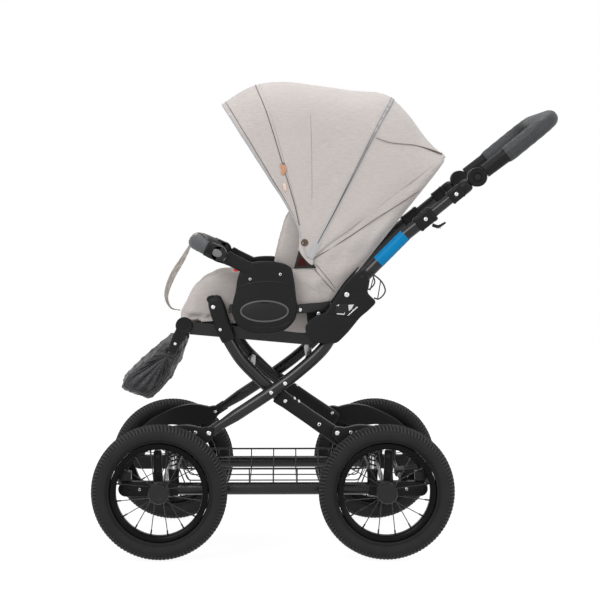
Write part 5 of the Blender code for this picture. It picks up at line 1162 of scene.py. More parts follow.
def bumper_tube(path, normal):
    """The padded tube: a groove along its inner side, faint cross wrinkles and drawn-in ends."""
    length = lengths(path)
    from_end = np.minimum(length, length[-1] - length)[:, None]
    length = length[:, None]
    turn = full_turn(44)
    groove = 0.0008 * np.exp(-((turn - np.pi) / 0.1)**2)
    wrinkle = 0.00022 * (np.sin(length * 240 + 4 * np.cos(turn)) + 0.6 * np.sin(length * 431 + 3
        * np.sin(turn)))
    r = BUMPER_RADIUS - groove + wrinkle * np.clip((from_end - 0.03) / 0.02, 0, 1)
    r = r * (0.9 + 0.1 * np.sqrt(np.clip(from_end / 0.003, 0, 1)))
    # its look is the leatherette lightened by a painted sheen
    return grid(sweep(path, polar(r, turn), normal), "bumper_leather")


def button_parts():
    """The joint's grey button: a low dome drawn out to an oval along the bumper bar."""
    x, z = BUMPER_JOINT
    profile = mm(0.2, -2.1, 5, -1.9, 7.8, -1.2, 8.8, -0.2, 8.9, 3, 0.2, 3)
    dome = lathe(profile, (x, -HOUSING_Y - EYE_HALF, z), "grey_plastic", 48)
    ahead = unit(np.subtract(BUMPER_FRONT, BUMPER_JOINT))
    flat = dome["points"][..., (0, 2)]
    run = (flat - BUMPER_JOINT) @ ahead
    dome["points"][..., (0, 2)] = flat + ahead * (0.35 * run + 0.004)[..., None]
    return [dome]


def strap_parts():
    """The webbing strap: a flat band along its route, looped over the bar, with raised edges."""
    arc = polar(BUMPER_RADIUS + 0.0025, np.radians(np.arange(20, 201, 12))) + BUMPER_FRONT
    path = even_points(smooth_points(np.vstack([arc, STRAP_ROUTE]), 8), 120)
    across = np.linspace(-0.0125, 0.0125, 11)
    edge = 0.001 * np.sqrt(np.clip(1 - (np.abs(across) / 0.0126)**8, 0, 1))
    a, b = np.concatenate([-edge, edge[::-1]]), np.concatenate([across, across[::-1]])
    twist = 0.62 * np.sin(np.pi * np.clip((np.linspace(0, 1, len(path)) - 0.15) / 0.85, 0, 1))
    c, s = np.cos(twist)[:, None], np.sin(twist)[:, None]
    rings = sweep(in_plane(path, 0.0), np.stack([a * c - b * s, a * s + b * c], axis=-1))
    plan = np.stack(np.meshgrid(lengths(path), b, indexing="ij"), axis=-1)
    return [grid(rings, "webbing", uv=plan)]


def hinge_parts():
    """The footrest's hinge: rod, round caps with a raised middle, and the tongues into the cover."""
    x, z = FOOT_AXIS
    inner, outer = RAIL_PLATE_FACE + 0.0003, RAIL_PLATE_FACE + 0.0083
    profile = [*mm(0.2, -0.6, 7, -0.6, 7.8, 0.4, 13.5, 0.4, 15, -0.2, 17.8, 0, 20, 2.2) + (0, -outer),
        (0.02, -inner - 0.001), (0.019, -inner), (0.0002, -inner)]
    tongue = band(mm(0, 0, -16, -30, -30, -62) + FOOT_AXIS, (0.013, 0.012, 0.009))
    own = [lathe(profile, (x, 0.0, z), "plastic", 56), plate(tongue, -outer + 0.0008, -inner, "plastic",
        0.0015), screw(x - 0.021, z - 0.042, -outer + 0.0006, radius=0.0038)]
    return [bar(FOOT_AXIS, -inner - 0.002, inner + 0.002, 0.006, "paint"), *own, *mirrored(own),
        bar((x - 0.026, z - 0.054), -inner - 0.002, inner + 0.002, 0.005, "paint")]


def creases(points, scale, seeds):
    """Sharp folds: for each seed, 1 - |sin| of a plane wave bent by a slower wave, squared."""
    x, y, z = np.moveaxis(points, -1, 0)
    total = np.zeros(x.shape)
    for ax, ay, az, phase, weight in seeds:
        bend = 1.3 * np.sin(x * 31 + y * 17 + phase) + 1.1 * np.sin(z * 37 - y * 13 + 2 * phase)
        wave = scale * (ax * x + ay * y + az * z) + bend + phase
        total += weight * (1 - np.abs(np.sin(wave)))**2
    return total


COVER_SEEDS = ((0.9, 0.35, -0.25, 0.4, 1.0), (-0.3, 0.55, 0.8, 1.9, 0.9), (0.25, -1.0, 0.3, 3.1, 0.7),
    (0.75, 0.75, 0.6, 4.4, 0.6), (-0.85, 0.2, 0.55, 5.3, 0.6))


def cover_parts():
    """The glossy bag round the foot board: the outline swept across, gathered and creased."""
    outline = even_points(np.vstack([smooth_points(FOOT_OUTLINE, 8, closed=True), FOOT_OUTLINE[:1]]),
        121)[:-1]
    middle = outline.mean(axis=0)
    y = np.linspace(-1, 1, 90)
    share = np.interp(y, np.linspace(-1, 1, 9), (0.8, 0.94, 0.985, 1.0, 0.98, 1.0, 0.985, 0.94, 0.8))
    ends = np.clip((1 - np.abs(y)) / 0.05, 0, 1)
    share = share * (0.9 + 0.1 * np.sqrt(ends))
    shape = middle + (outline - middle)[None] * share[:, None, None]
    width = y * SEAT_HALF
    points = np.dstack([shape[..., 0], np.broadcast_to(width[:, None], shape.shape[:2]), shape[..., 1]])
    fold, fine = creases(points, 62.0, COVER_SEEDS), creases(points, 131.0, COVER_SEEDS[::-1])
    rise = (0.0032 * fold + 0.0011 * fine - 0.005) * np.clip(ends, 0.25, 1)[:, None]
    points[..., (0, 2)] += outward(outline) * rise[..., None]
    rings = [points]
    for side, index in ((-1, 0), (1, -1)):
        base = points[index]
        centre = base.mean(axis=0) * 0.35 + np.array((-0.352, base[0, 1], 0.474)) * 0.65
        f = np.array([0.86, 0.66, 0.42, 0.18, 0.03])[:, None]
        out = 0.004 * (1 - f**2) + 0.0028 * np.sin(13 * full_turn(len(base))) * f
        cap = centre + (base - centre) * f[..., None] + np.array([0, side, 0]) * out[..., None]
        rings = [cap[::-1], *rings] if side < 0 else [*rings, cap]
    piping = [tube(points[3], 0.0013, "smooth_plastic", 8, close=True)]
    return [grid(np.concatenate(rings), "nylon"), *piping, *mirrored(piping)]


# Soft goods

PAN_RISE = 0.0148
SIDE_FABRIC_Y = 0.1786
BACK_TOP = 0.437
HOOD_START = 0.01
HOOD_SKIN = 0.0012


def smooth_rings(rings, per_span):
    """Closed rings (rings, points, 3) with per_span points between each two, all at once."""
    count, sides = rings.shape[:2]
    flat = rings.transpose(1, 0, 2).reshape(sides, count * 3)
    return smooth_points(flat, per_span, closed=True).reshape(-1, count, 3).transpose(1, 0, 2)


def from_sides(side):
    """Rings out of one side's points (rings, points, y and another): the other side mirrored."""
    other = side[:, ::-1] * (-1, 1)
    return np.concatenate([side, other], axis=1)


def end_draw(at, first, last, deep, reach):
    """How far a pad draws in near its two ends: deep at an end, falling away over reach."""
    away = np.minimum(at - first, last - at) / reach
    return deep * np.clip(1 - away, 0, 1)**2


def seat_slope(x):
    share = (x - SEAT_FRONT[0]) / (SEAT_REAR[0] - SEAT_FRONT[0])
    return SEAT_FRONT[1] + share * (SEAT_REAR[1] - SEAT_FRONT[1])


def seat_pad_parts():
    """The seat pad: its crowned middle and side walls as one closed ring at each place along it."""
    x = np.linspace(-0.344, -0.068, 70)
    top_line = smooth_points(SEAT_SIDE_TOP, 10)
    top = np.interp(x, top_line[:, 0], top_line[:, 1])
    draw = end_draw(x, x[0], x[-1], 0.014, 0.026)
    base = seat_slope(x) + PAN_RISE + 0.0004
    pad = base + 0.036 - draw
    top = np.maximum(top - draw * 0.3, pad + 0.002)
    half = SEAT_HALF - draw * 0.7
    wall = 0.022
    side = np.stack([np.stack(pair, axis=-1) for pair in (
        (half - 0.006, base), (half, base + 0.008), (half, (base + top) / 2), (half, top - 0.01),
        (half - wall / 2, top), (half - wall, top - 0.01), (half - wall - 0.004, pad - 0.004),
        (half * 0.55, pad + 0.002), (half * 0.22, pad + 0.006))], axis=1)
    ring = from_sides(side)
    rings = np.concatenate([np.broadcast_to(x[:, None, None], ring.shape[:2] + (1,)), ring], axis=2)
    return [grid(smooth_rings(rings, 5), "cloth")]


def back_place(distance, depth, y):
    """Points of the backrest: distance up along it, depth forward of its rear face."""
    up_x, up_z = math.cos(BACK_ANGLE), math.sin(BACK_ANGLE)
    return np.stack([BACK_FOOT[0] + distance * up_x - depth * up_z, y + 0 * distance,
        BACK_FOOT[1] + distance * up_z + depth * up_x], axis=-1)


BACK_WING = mm(-16, 150, -10, 168, 14, 181, 52, 197, 105, 212, 165, 196, 225, 165, 290, 128, 350, 92, 383,
    66)


def back_pad_parts():
    """The back pad with side walls that reach forward to the wing line."""
    line = smooth_points(BACK_WING, 10)
    d, wing = line[:, 0], line[:, 1]
    draw = end_draw(d, d[0], d[-1], 0.014, 0.03)
    start = 0.0163
    half, pad, wall, lip = 0.148 - draw, 0.0603 - draw, 0.02, 0.01
    level = start + 0 * d
    side = np.stack([np.stack(pair, axis=-1) for pair in (
        (half - lip, level), (half, level + lip), (half, (level + wing) / 2), (half, wing - lip),
        (half - lip, wing), (half - wall, wing - lip), (half - wall - 0.003, pad),
        (half * 0.55, pad + 0.003), (half * 0.22, pad + 0.006))], axis=1)
    ring = from_sides(side)
    rings = back_place(np.broadcast_to(d[:, None], ring.shape[:2]), ring[..., 1], ring[..., 0])
    return [grid(smooth_rings(rings, 5), "cloth")]


def two_skins(outer, inner, look="cloth", inside="lining"):
    """A thin shell as its two faces and the narrow strips that join them at the edges."""
    parts = [grid(outer, look, close_v=False, caps=False), grid(inner, inside, close_v=False, caps=False)]
    for a, b in ((outer[0], inner[0]), (outer[-1], inner[-1]), (outer[:, 0], inner[:, 0]), (outer[:, -1],
            inner[:, -1])):
        parts.append(grid(np.stack([a, (a + b) / 2, b]), look, close_v=False, caps=False))
    return parts


def shell_parts():
    """The backrest's outer fabric: round the rear at each distance up it, out to the hood's edge.

    At distance d a section runs from the hood's lower line forward of the back, along the side at
    one width, round a quarter circle into the rear face, and the same on the other side."""
    def surface(inset):
        d = np.linspace(0.0, BACK_TOP, 90)
        width = SIDE_FABRIC_Y - inset
        lift = np.clip((d - 0.342) / 0.0975, 0, 0.995)
        half = np.where(d < 0.342, width, width - 0.1 + 0.1 * np.sqrt(1 - lift**2))
        front = 0.1051 - 0.24 * (d - 0.0422) + 0.002
        front = np.where(d < 0.03, np.interp(d, (0.0, 0.03), (0.125, front[6])), front)
        corner = np.minimum(0.022, front * 0.6)
        back = inset + 0.0126 * np.clip((d - 0.418) / (BACK_TOP - 0.418), 0, 1)**2
        v = np.linspace(0, 1, 36)
        run = front[:, None] + (corner - front)[:, None] * v[None, :]
        side_y = np.broadcast_to(half[:, None], run.shape)
        a = np.linspace(0, np.pi / 2, 9)[1:]
        turn_y = (half - corner)[:, None] + corner[:, None] * np.cos(a)
        turn_d = corner[:, None] * (1 - np.sin(a)) + back[:, None]
        share = np.linspace(1, 0, 24)[1:]
        flat_y = (half - corner)[:, None] * share
        flat_d = back[:, None] + 0 * flat_y
        y = np.concatenate([side_y, turn_y, flat_y], axis=1)
        depth = np.concatenate([run, turn_d, flat_d], axis=1)
        y = np.concatenate([-y, y[:, ::-1][:, 1:]], axis=1)
        depth = np.concatenate([depth, depth[:, ::-1][:, 1:]], axis=1)
        dist = np.broadcast_to(d[:, None], y.shape)
        fold = (0.0012 * np.sin(58 * dist + 90 * depth + 1.0) + 0.0009 * np.sin(140 * depth - 35 * dist))
        fold = fold * np.clip((0.4 - dist) / 0.1, 0, 1) - 0.0009
        points = back_place(dist, depth, y)
        points[..., 1] += np.sign(y) * fold * np.clip(np.abs(y) / half[:, None], 0, 1)**4
        return points
    parts = two_skins(surface(0.0), surface(HOOD_SKIN))
    skirt = side_skirt_parts()
    return parts + skirt + mirrored(skirt) + shell_seams()


def side_skirt_parts():
    """The fabric below the backrest's foot on the near side, down behind the housing."""
    d = np.linspace(-0.08, 0.0, 24)
    low = np.interp(d, (-0.08, -0.0285, 0.0), (0.0724, 0.015, 0.002))
    high = np.interp(d, (-0.08, -0.06, 0.0), (0.086, 0.104, 0.1268))
    v = np.linspace(0, 1, 24)
    depth = low[:, None] + (high - low)[:, None] * v
    dist = np.broadcast_to(d[:, None], depth.shape)
    fold = 0.001 * np.sin(70 * depth + 40 * dist) - 0.0006
    outer = back_place(dist, depth, -SIDE_FABRIC_Y - fold)
    inner = back_place(dist, depth, -SIDE_FABRIC_Y - fold + HOOD_SKIN)
    return two_skins(outer, inner)


def shell_seams():
    """Sewn lines on the side fabric: the hood's lower seam, the diagonal, its twin and the hem."""
    seams = [tube(in_plane(smooth_points(line, 12), -SIDE_FABRIC_Y - lift), radius, look, sides)
             for line, lift, radius, look, sides in (
                 (mm(-33, 680, 30, 718, 116.8, 775.4, 170, 809, 214.3, 837.5), 0.0004, 0.00085, "seam", 8),
                 (mm(-31, 664, -12, 640, 13, 612, 20, 606), 0.0004, 0.0008, "seam", 8),
                 (mm(-23, 669, 1, 640, 21, 614), 0.0004, 0.0006, "seam", 8),
                 (mm(-59, 716, -63.5, 702, -50, 683, -30, 665), 0.0002, 0.0013, "cloth", 10))]
    return seams + mirrored(seams)


def gusset_parts():
    """The dark triangle behind the hood's lower corner, the lobe over the hub and its snap."""
    y = -SIDE_FABRIC_Y
    triangle = mm(-61, 710, -74.5, 660, -23, 661, -40, 685, -50, 705)
    core = mm(-60, 688, -67.5, 666, -43, 666, -50, 679)
    lobe = mm(-60, 742, -62.5, 718, -63, 704, -56, 690, -44, 676, -33, 668, -30, 676, -33, 702, -42, 740)
    parts = [slab(triangle, 0.002, y - 0.0018, y - 0.0004, "seam_dark", 0.0003), slab(core, 0.002,
        y - 0.0021, y - 0.0012, "red_tape", 0.0002), plate(smooth_points(lobe, 5, closed=True), y - 0.004,
        y - 0.002, "cloth", 0.0008)]
    return parts + mirrored(parts)


def snap_parts():
    """A brass press stud in its ring."""
    place = (-0.0498, -HOOD_HALF_WIDTH - 0.0004, 0.7197)
    ring = mm(4.6, -0.8, 5.4, -2.2, 6.8, -2.4, 8, -1.4, 8.4, 0.2, 8.4, 1, 4.6, 1)
    cup = mm(0.2, -1.4, 1.6, -1.6, 2.6, -0.6, 4.7, -0.4, 4.7, 0.8)
    parts = [lathe(ring, place, "brass", 40), lathe(cup, place, "dark_brass", 32)]
    return parts + mirrored(parts)


def flap_parts():
    """The seat's side fabric that hangs below the black bar, behind the joint cover."""
    flap = mm(-105, 560, -105, 516, -64, 510.5, -28, 510.5, -12, 530, -6, 570, -50, 565)
    parts = [slab(flap, 0.006, -0.166, -0.1648, "cloth", 0.0005)]
    return parts + mirrored(parts)


# Hood panels


def hood_radius(angle):
    line = smooth_points(HOOD_TOP, 8)
    return np.interp(angle, line[:, 0], line[:, 1])


def hood_place(angle, y, r):
    flat = polar(r, np.radians(angle)) + HOOD_CENTRE
    return np.stack([flat[..., 0], y + 0 * r, flat[..., 1]], axis=-1)


def arch_profile(radius, half, corner, start):
    """Near half of each arch as (y, r): up the side, a quarter circle, then level to the middle.
    The far half is its mirror image."""
    radius = np.asarray(radius, float)[:, None]
    share, a, t = np.linspace(0, 1, 26)[:-1], np.linspace(0, np.pi / 2, 14), np.linspace(1, 0, 16)[1:]
    y = np.concatenate([-half + 0 * share, -half + corner - corner * np.cos(a), (-half + corner) * t])
    y = y + 0 * radius
    r = np.hstack([start + (radius - corner - start) * share, radius - corner + corner * np.sin(a),
        radius + 0.002 * (1 - t**2)])
    return np.hstack([y, -y[:, -2::-1]]), np.hstack([r, r[:, -2::-1]])


def panel_surface(first, last, steps, sag, inset):
    """The canopy between two angles; between its bows it sinks in by sag * sin(pi * share)."""
    angle = np.linspace(first, last, steps)
    half = HOOD_HALF_WIDTH - inset
    y, r = arch_profile(hood_radius(angle) - inset, half, HOOD_CORNER - inset, HOOD_START)
    share = ((angle - first) / (last - first))[:, None]
    start_at = np.interp(r, *EDGES[first])
    angles = start_at + share * (np.interp(r, *EDGES[last]) - start_at)
    sink = np.sin(np.pi * share) * np.clip((r - HOOD_START) / 0.25, 0, 1)
    side = np.clip(np.abs(y) / half, 0, 1)**3
    wave = 0.0007 * np.sin(r * 60 + 27 * share) * sink
    tuck = 0.0044 * np.clip((46.0 - angles) / 8.0, 0, 1)**2
    return hood_place(angles, y - np.sign(y) * (sag * sink + wave + tuck) * side,
        r - sag * sink * (1 - side) * 0.4)


def panel_line(panel, start, end, row_from, row_to, lift=0.0006):
    """A line on the near side of a panel, from angle start to angle end over its rows."""
    first, last, steps, _ = panel
    surface = panel_surface(*panel, -lift)
    rows = np.linspace(row_from, row_to, 60)
    column = (np.linspace(start, end, 60) - first) / (last - first) * (steps - 1)
    u0 = np.clip(column.astype(int), 0, steps - 2)
    v0 = np.clip(rows.astype(int), 0, surface.shape[1] - 2)
    fu, fv = (column - u0)[:, None], (rows - v0)[:, None]
    low = surface[u0, v0] * (1 - fv) + surface[u0, v0 + 1] * fv
    high = surface[u0 + 1, v0] * (1 - fv) + surface[u0 + 1, v0 + 1] * fv
    return low * (1 - fu) + high * fu


EDGES = {
    HOOD_REAR_ANGLE: ((0.03, 0.36, 0.42), (38.0, 37.6, 36.4)),
    HOOD_BOW_ANGLE: ((0.03, 0.08, 0.126, 0.21, 0.36, 0.42), (104.8, 104.3, 103.9, 105.3, 106.4, 107.4)),
    HOOD_FRONT_ANGLE: ((0.03, 0.079, 0.13, 0.2013, 0.2732, 0.345, 0.4175),
            (105.6, 105.4, 109.7, 114.3, 116.5, 117.8, 118.6)),
}
REAR_PANEL = (HOOD_REAR_ANGLE, HOOD_BOW_ANGLE, 64, 0.0035)
FRONT_PANEL = (HOOD_BOW_ANGLE, HOOD_FRONT_ANGLE, 18, 0.001)


def rear_panel_parts():
    """Canopy between the backrest and the middle bow, with its seams and the grey zip band."""
    outer, inner = panel_surface(*REAR_PANEL, 0.0), panel_surface(*REAR_PANEL, HOOD_SKIN)
    rows = outer.shape[1]
    parts = two_skins(outer, inner) + [flat_band(REAR_PANEL, HOOD_BAND_ANGLE, 0.0052)]

    def seam(start, end, row_from, row_to, lift, radius, look="seam", sides=6):
        return tube(panel_line(REAR_PANEL, start, end, row_from, row_to, lift), radius, look, sides)

    for shift, radius in ((-0.42, 0.0006), (0.0, 0.0004), (0.42, 0.0006)):
        angle = HOOD_BAND_ANGLE + shift
        parts.append(seam(angle, angle, 3, rows - 4, 0.0016, radius))
    hem, beside = HOOD_BOW_ANGLE - 0.9, HOOD_BOW_ANGLE - 2.2
    parts += [seam(hem, hem, 6, rows - 7, 0.0005, 0.001, sides=8), seam(beside, beside, 6, rows - 7, 0.0,
        0.0005, "faint_seam")]
    short = [seam(88.8, 90.0, 11, int(rows * 0.26), 0.0, 0.0006, "faint_seam")]
    return parts + short + mirrored(short) + fold_parts()


def flat_band(panel, angle, half):
    """A strip of constant width laid over the panel along one angle."""
    first, last, steps, _ = panel
    column = (angle - first) / (last - first) * (steps - 1)
    u0 = int(column)
    f = column - u0
    columns = []
    for v, lift in ((-1, 0.0004), (-1, 0.001), (-0.5, 0.0013), (0, 0.0016), (0.5, 0.0013), (1, 0.001), (1,
            0.0004), (0, 0.0004)):
        surface = panel_surface(*panel, -lift)
        line = surface[u0] * (1 - f) + surface[u0 + 1] * f
        across = unit(surface[u0 + 1] - surface[u0])
        from_start = np.linalg.norm(line[:, (0, 2)] - np.array(HOOD_CENTRE), axis=1)
        width = np.where(from_start < 0.05, 0.0076, np.minimum(half, 0.0042 + from_start * 0.01))
        columns.append(line + across * (v * width)[:, None])
    return grid(np.stack(columns, axis=1), "zip")


def fold_parts():
    """The pinched fold on the rear quarter: a soft ridge with a dark line and its notch."""
    offset = smooth_points(mm(114.4, 959.8, 151.9, 948.4, 209.8, 943.3, 271.9, 925.7), 16) - HOOD_CENTRE
    r, angle = np.hypot(*offset.T), np.degrees(np.arctan2(offset[:, 1], offset[:, 0]))
    over = np.clip((r - hood_radius(angle)) / HOOD_CORNER + 1, 0, 0.999)
    y = -HOOD_HALF_WIDTH + HOOD_CORNER * (1 - np.sqrt(1 - over**2)) - 0.0004
    radius = np.interp(np.linspace(0, 1, len(r)), (0, 0.7, 0.9, 1.0), (0.0007, 0.0009, 0.0022, 0.0014))
    seam = [tube(hood_place(angle, y, r), radius, "seam", 8)]
    return seam + mirrored(seam)


def front_panel_parts():
    """The visor between the middle and front bows, with its piped front edge and its seam."""
    outer, inner = panel_surface(*FRONT_PANEL, 0.0), panel_surface(*FRONT_PANEL, HOOD_SKIN)
    seam = panel_line(FRONT_PANEL, 117.3, 117.3, 7, outer.shape[1] - 8)
    return [*two_skins(outer, inner), tube(outer[-1] * 0.5 + inner[-1] * 0.5, 0.0021, "piping", 10),
        tube(seam, 0.0008, "seam", 6)]


def bow_parts(edge):
    """A bow under the cloth: the arch at the panel edge's angle, drawn in, and its eyes on the pin."""
    radii, angles = EDGES[edge]
    clear, drop = 0.0066, 0.0037
    y, r = arch_profile(hood_radius(np.array([edge])) - clear - drop, HOOD_HALF_WIDTH - clear,
        HOOD_CORNER - clear, 0.022)
    angle = np.interp(r[0], radii, angles) - math.degrees(0.0042) / np.maximum(r[0], 0.05)
    parts = [tube(hood_place(angle, y[0], r[0]), 0.0035, "paint", 16)]
    tip = hood_place(angle[:1], np.zeros(1), np.array([0.03]))[0]
    tongue = band([HOOD_CENTRE, (tip[0], tip[2])], [0.0036, 0.0034], 2)
    layer = 0.0025 if edge == HOOD_BOW_ANGLE else 0.0
    for side in (-1, 1):
        low, high = sorted((side * (0.1728 + layer), side * (0.175 + layer)))
        parts += [plate(tongue, low, high, "paint", 0.0005), lathe([(0.0033, low), (0.0075, low), (0.0075,
            high), (0.0033, high)], (HOOD_CENTRE[0], 0.0, HOOD_CENTRE[1]), "paint", 28)]
    return parts


def tag_parts():
    """The leather zip tag on the near side's seam and the sewn patch near the front edge."""
    y = -HOOD_HALF_WIDTH - 0.0012
    tag = mm(-106, 900, -99, 899, -92.5, 896, -91.5, 885, -98.5, 874, -103.5, 875, -102.5, 887)
    patch = mm(-101.5, 856, -93, 856, -90.5, 840, -96, 838)
    ring = in_plane(circle(0.002, 20) + (-0.0985, 0.901), y - 0.0006)
    return [slab(tag, 0.0025, y - 0.0012, y + 0.0006, "copper_leather", 0.0005), slab(patch, 0.002,
        y - 0.0003, y + 0.001, "pale_leather", 0.0004), tube(ring, 0.0006, "brass", 8, close=True)]


# Settings, one group for each thing that can be tuned


class PramWheelSettings(bpy.types.PropertyGroup):
    tyre_width: FloatProperty(
        name="Tyre width", description="How wide each tyre's rubber is", default=0.054, min=0.03,
        max=0.056, unit="LENGTH")
    tread_blocks: IntProperty(
        name="Tread blocks", description="How many tread blocks go round a tyre", default=112, min=24,
        max=160)
    tread_depth: FloatProperty(
        name="Tread depth", description="How deep the grooves between the blocks are", default=0.0028,
        min=0.0, max=0.004, unit="LENGTH")


class PramFabricSettings(bpy.types.PropertyGroup):
    cloth_colour: FloatVectorProperty(
        name="Cloth colour", description="Base colour of the hood's and seat's cloth",
        default=GREIGE, min=0.0, max=1.0, size=3, subtype="COLOR")
    pad_pressure: FloatProperty(
        name="Pad pressure", description="Air pressure that fills the pads in their simulation",
        default=4.0, min=0.0, max=12.0)
    pad_fill: FloatProperty(
        name="Pad fill", description="How full the padding is, from slack to tight", default=0.6,
        min=0.0, max=1.0, subtype="FACTOR")


class PramStageSettings(bpy.types.PropertyGroup):
    camera_place: FloatVectorProperty(
        name="Camera place", description="Where the camera stands", default=(-0.109, -4.31, 0.812),
        subtype="TRANSLATION", unit="LENGTH", size=3)
    camera_pitch: FloatProperty(
        name="Camera pitch", description="How far the camera looks down", default=math.radians(3.116),
        subtype="ANGLE", unit="ROTATION")
    camera_yaw: FloatProperty(
        name="Camera yaw", description="How far the camera is turned to its right",
        default=math.radians(0.675), subtype="ANGLE", unit="ROTATION")
    focal_length: FloatProperty(
        name="Focal length", description="Focal length for a 36 mm wide picture, in millimetres",
        default=107.5, min=20.0, max=300.0)
    key_power: FloatProperty(
        name="Key light", description="Power of the large soft light, in watts", default=110.0,
        min=0.0)
    sky_level: FloatProperty(
        name="Sky level", description="Brightness of the even light from all round", default=0.85,
        min=0.0)


SETTINGS = {"pram_wheels": PramWheelSettings, "pram_fabric": PramFabricSettings,
            "pram_stage": PramStageSettings}


class PramPiece:
    """Shared by the operators: each fills the table of looks if it is empty and makes its pieces."""

    bl_options = {"REGISTER", "UNDO"}

    def execute(self, context):
        if not LOOKS:
            LOOKS.update(make_looks(context.scene.pram_fabric))
        self.make(context.scene)
        return {"FINISHED"}


class PRAM_OT_wheels(PramPiece, bpy.types.Operator):
    """Make the four tyres with their tread and the spoked rims"""

    bl_idname = "pram.wheels"
    bl_label = "Wheels"

    def make(self, scene):
        for end, x in AXLE_X.items():
            for side, turn in (("near", -1), ("far", 1)):
                place = f"{end}_{side}"
                centre = (x, turn * TRACK_HALF, AXLE_Z)
                build(f"tyre_{place}_look", tyre_parts(centre, scene.pram_wheels), f"wheel_{place}",
                      "tyre", (f"tyre_{place}",), 50.0, True)
                build(f"rim_{place}_look", rim_parts(centre, turn), f"wheel_{place}", "black_plastic",
                      (f"spoked_rim_{place}",))


class PRAM_OT_lower_frame(PramPiece, bpy.types.Operator):
    """Make the axles, side rails, arms, springs, basket and brake"""

    bl_idname = "pram.lower_frame"
    bl_label = "Lower frame"

    def make(self, scene):
        for end, x in AXLE_X.items():
            build(f"axle_{end}_look", axle_parts(x), "chassis", "bare_steel", (f"{end}_axle",))
        pair("rail", rail_parts(), "chassis", "frame_paint")
        spring = [spring_part(SPRING_X)]
        for end, hoop, coil in (("front", hoop_parts(-0.2012, True), spring),
                                ("rear", rear_copy(hoop_parts(-0.1662, False)), rear_copy(spring))):
            pair(f"hoop_{end}", hoop, "chassis", "black_plastic")
            pair(f"spring_{end}", coil, "chassis", "black_plastic", smooth=60.0)
        build("basket_look", basket_parts(), "chassis", "frame_paint", ("basket",), 60.0)
        build("brake_look", brake_parts(), "brake", "black_plastic", ("brake_bar",))


class PRAM_OT_cross_frame(PramPiece, bpy.types.Operator):
    """Make the crossing legs with their sleeves, brackets, wire loops and spreaders"""

    bl_idname = "pram.cross_frame"
    bl_label = "Cross frame"

    def make(self, scene):
        pair("outer_leg", outer_leg_parts(), "outer_legs", "frame_paint")
        pair("rear_bracket", bracket_parts(), "outer_legs", "black_plastic")
        pair("wire_loop", wire_loop_parts(), "outer_legs", "frame_paint")
        leg = tube(leg_path(INNER_LEG, -INNER_LEG_Y), LEG_RADIUS, "paint", 32)
        pair("inner_leg", [leg], "inner_legs", "frame_paint")
        pair("inner_lower_sleeve", sleeve_parts(), "inner_legs", "black_plastic")
        pair("inner_top_sleeve", top_sleeve_parts(), "inner_legs", "black_plastic")
        pair("spreader_bar", spreader_parts(), "spreaders", "frame_paint")
        for level, place, y in (("outer", OUTER_CROSS, OUTER_LEG_Y), ("inner", INNER_CROSS, INNER_LEG_Y)):
            build(f"{level}_cross_look", cross_tube_parts(place, y), f"{level}_legs", "frame_paint",
                  (f"{level}_cross_tube",))


class PRAM_OT_handle(PramPiece, bpy.types.Operator):
    """Make the handle tubes, the fold lever, the tilt joints and the stitched grip"""

    bl_idname = "pram.handle"
    bl_label = "Handle"

    def make(self, scene):
        build("handle_tube_near_look", handle_tube_parts(True), "handle", "frame_paint",
              ("handle_tube_near",), weld=True)
        build("handle_tube_far_look", mirrored(handle_tube_parts(False)), "handle", "frame_paint",
              ("handle_tube_far",))
        build("handle_lever_look", lever_parts(), "lever", "black_plastic", ("handle_lever",))
        pair("tilt_disc", disc_parts(), "grip", "black_plastic")
        build("grip_look", grip_parts(), "grip", "leatherette", ("handle_grip",), 60.0, True)


class PRAM_OT_seat_unit(PramPiece, bpy.types.Operator):
    """Make the seat's joint covers, bumper bar, buttons, strap and footrest"""

    bl_idname = "pram.seat_unit"
    bl_label = "Seat unit"

    def make(self, scene):
        pair("seat_housing", housing_parts(), "seat", "black_plastic")
        build("bumper_look", bumper_parts(), "bumper", "leatherette", ("bumper_bar",), 60.0, True)
        pair("button", button_parts(), "button_{}", "grey_plastic", "bumper_button")
        strap = build("crotch_strap_look", strap_parts(), None, "webbing", ("crotch_strap",), 60.0)
        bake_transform(strap)
        build("footrest_hinge_look", hinge_parts(), "footrest", "black_plastic", ("footrest_hinge",))
        cover = build("footrest_cover_look", cover_parts(), "footrest", "dark_cloth",
                      ("footrest_cover",), 75.0)


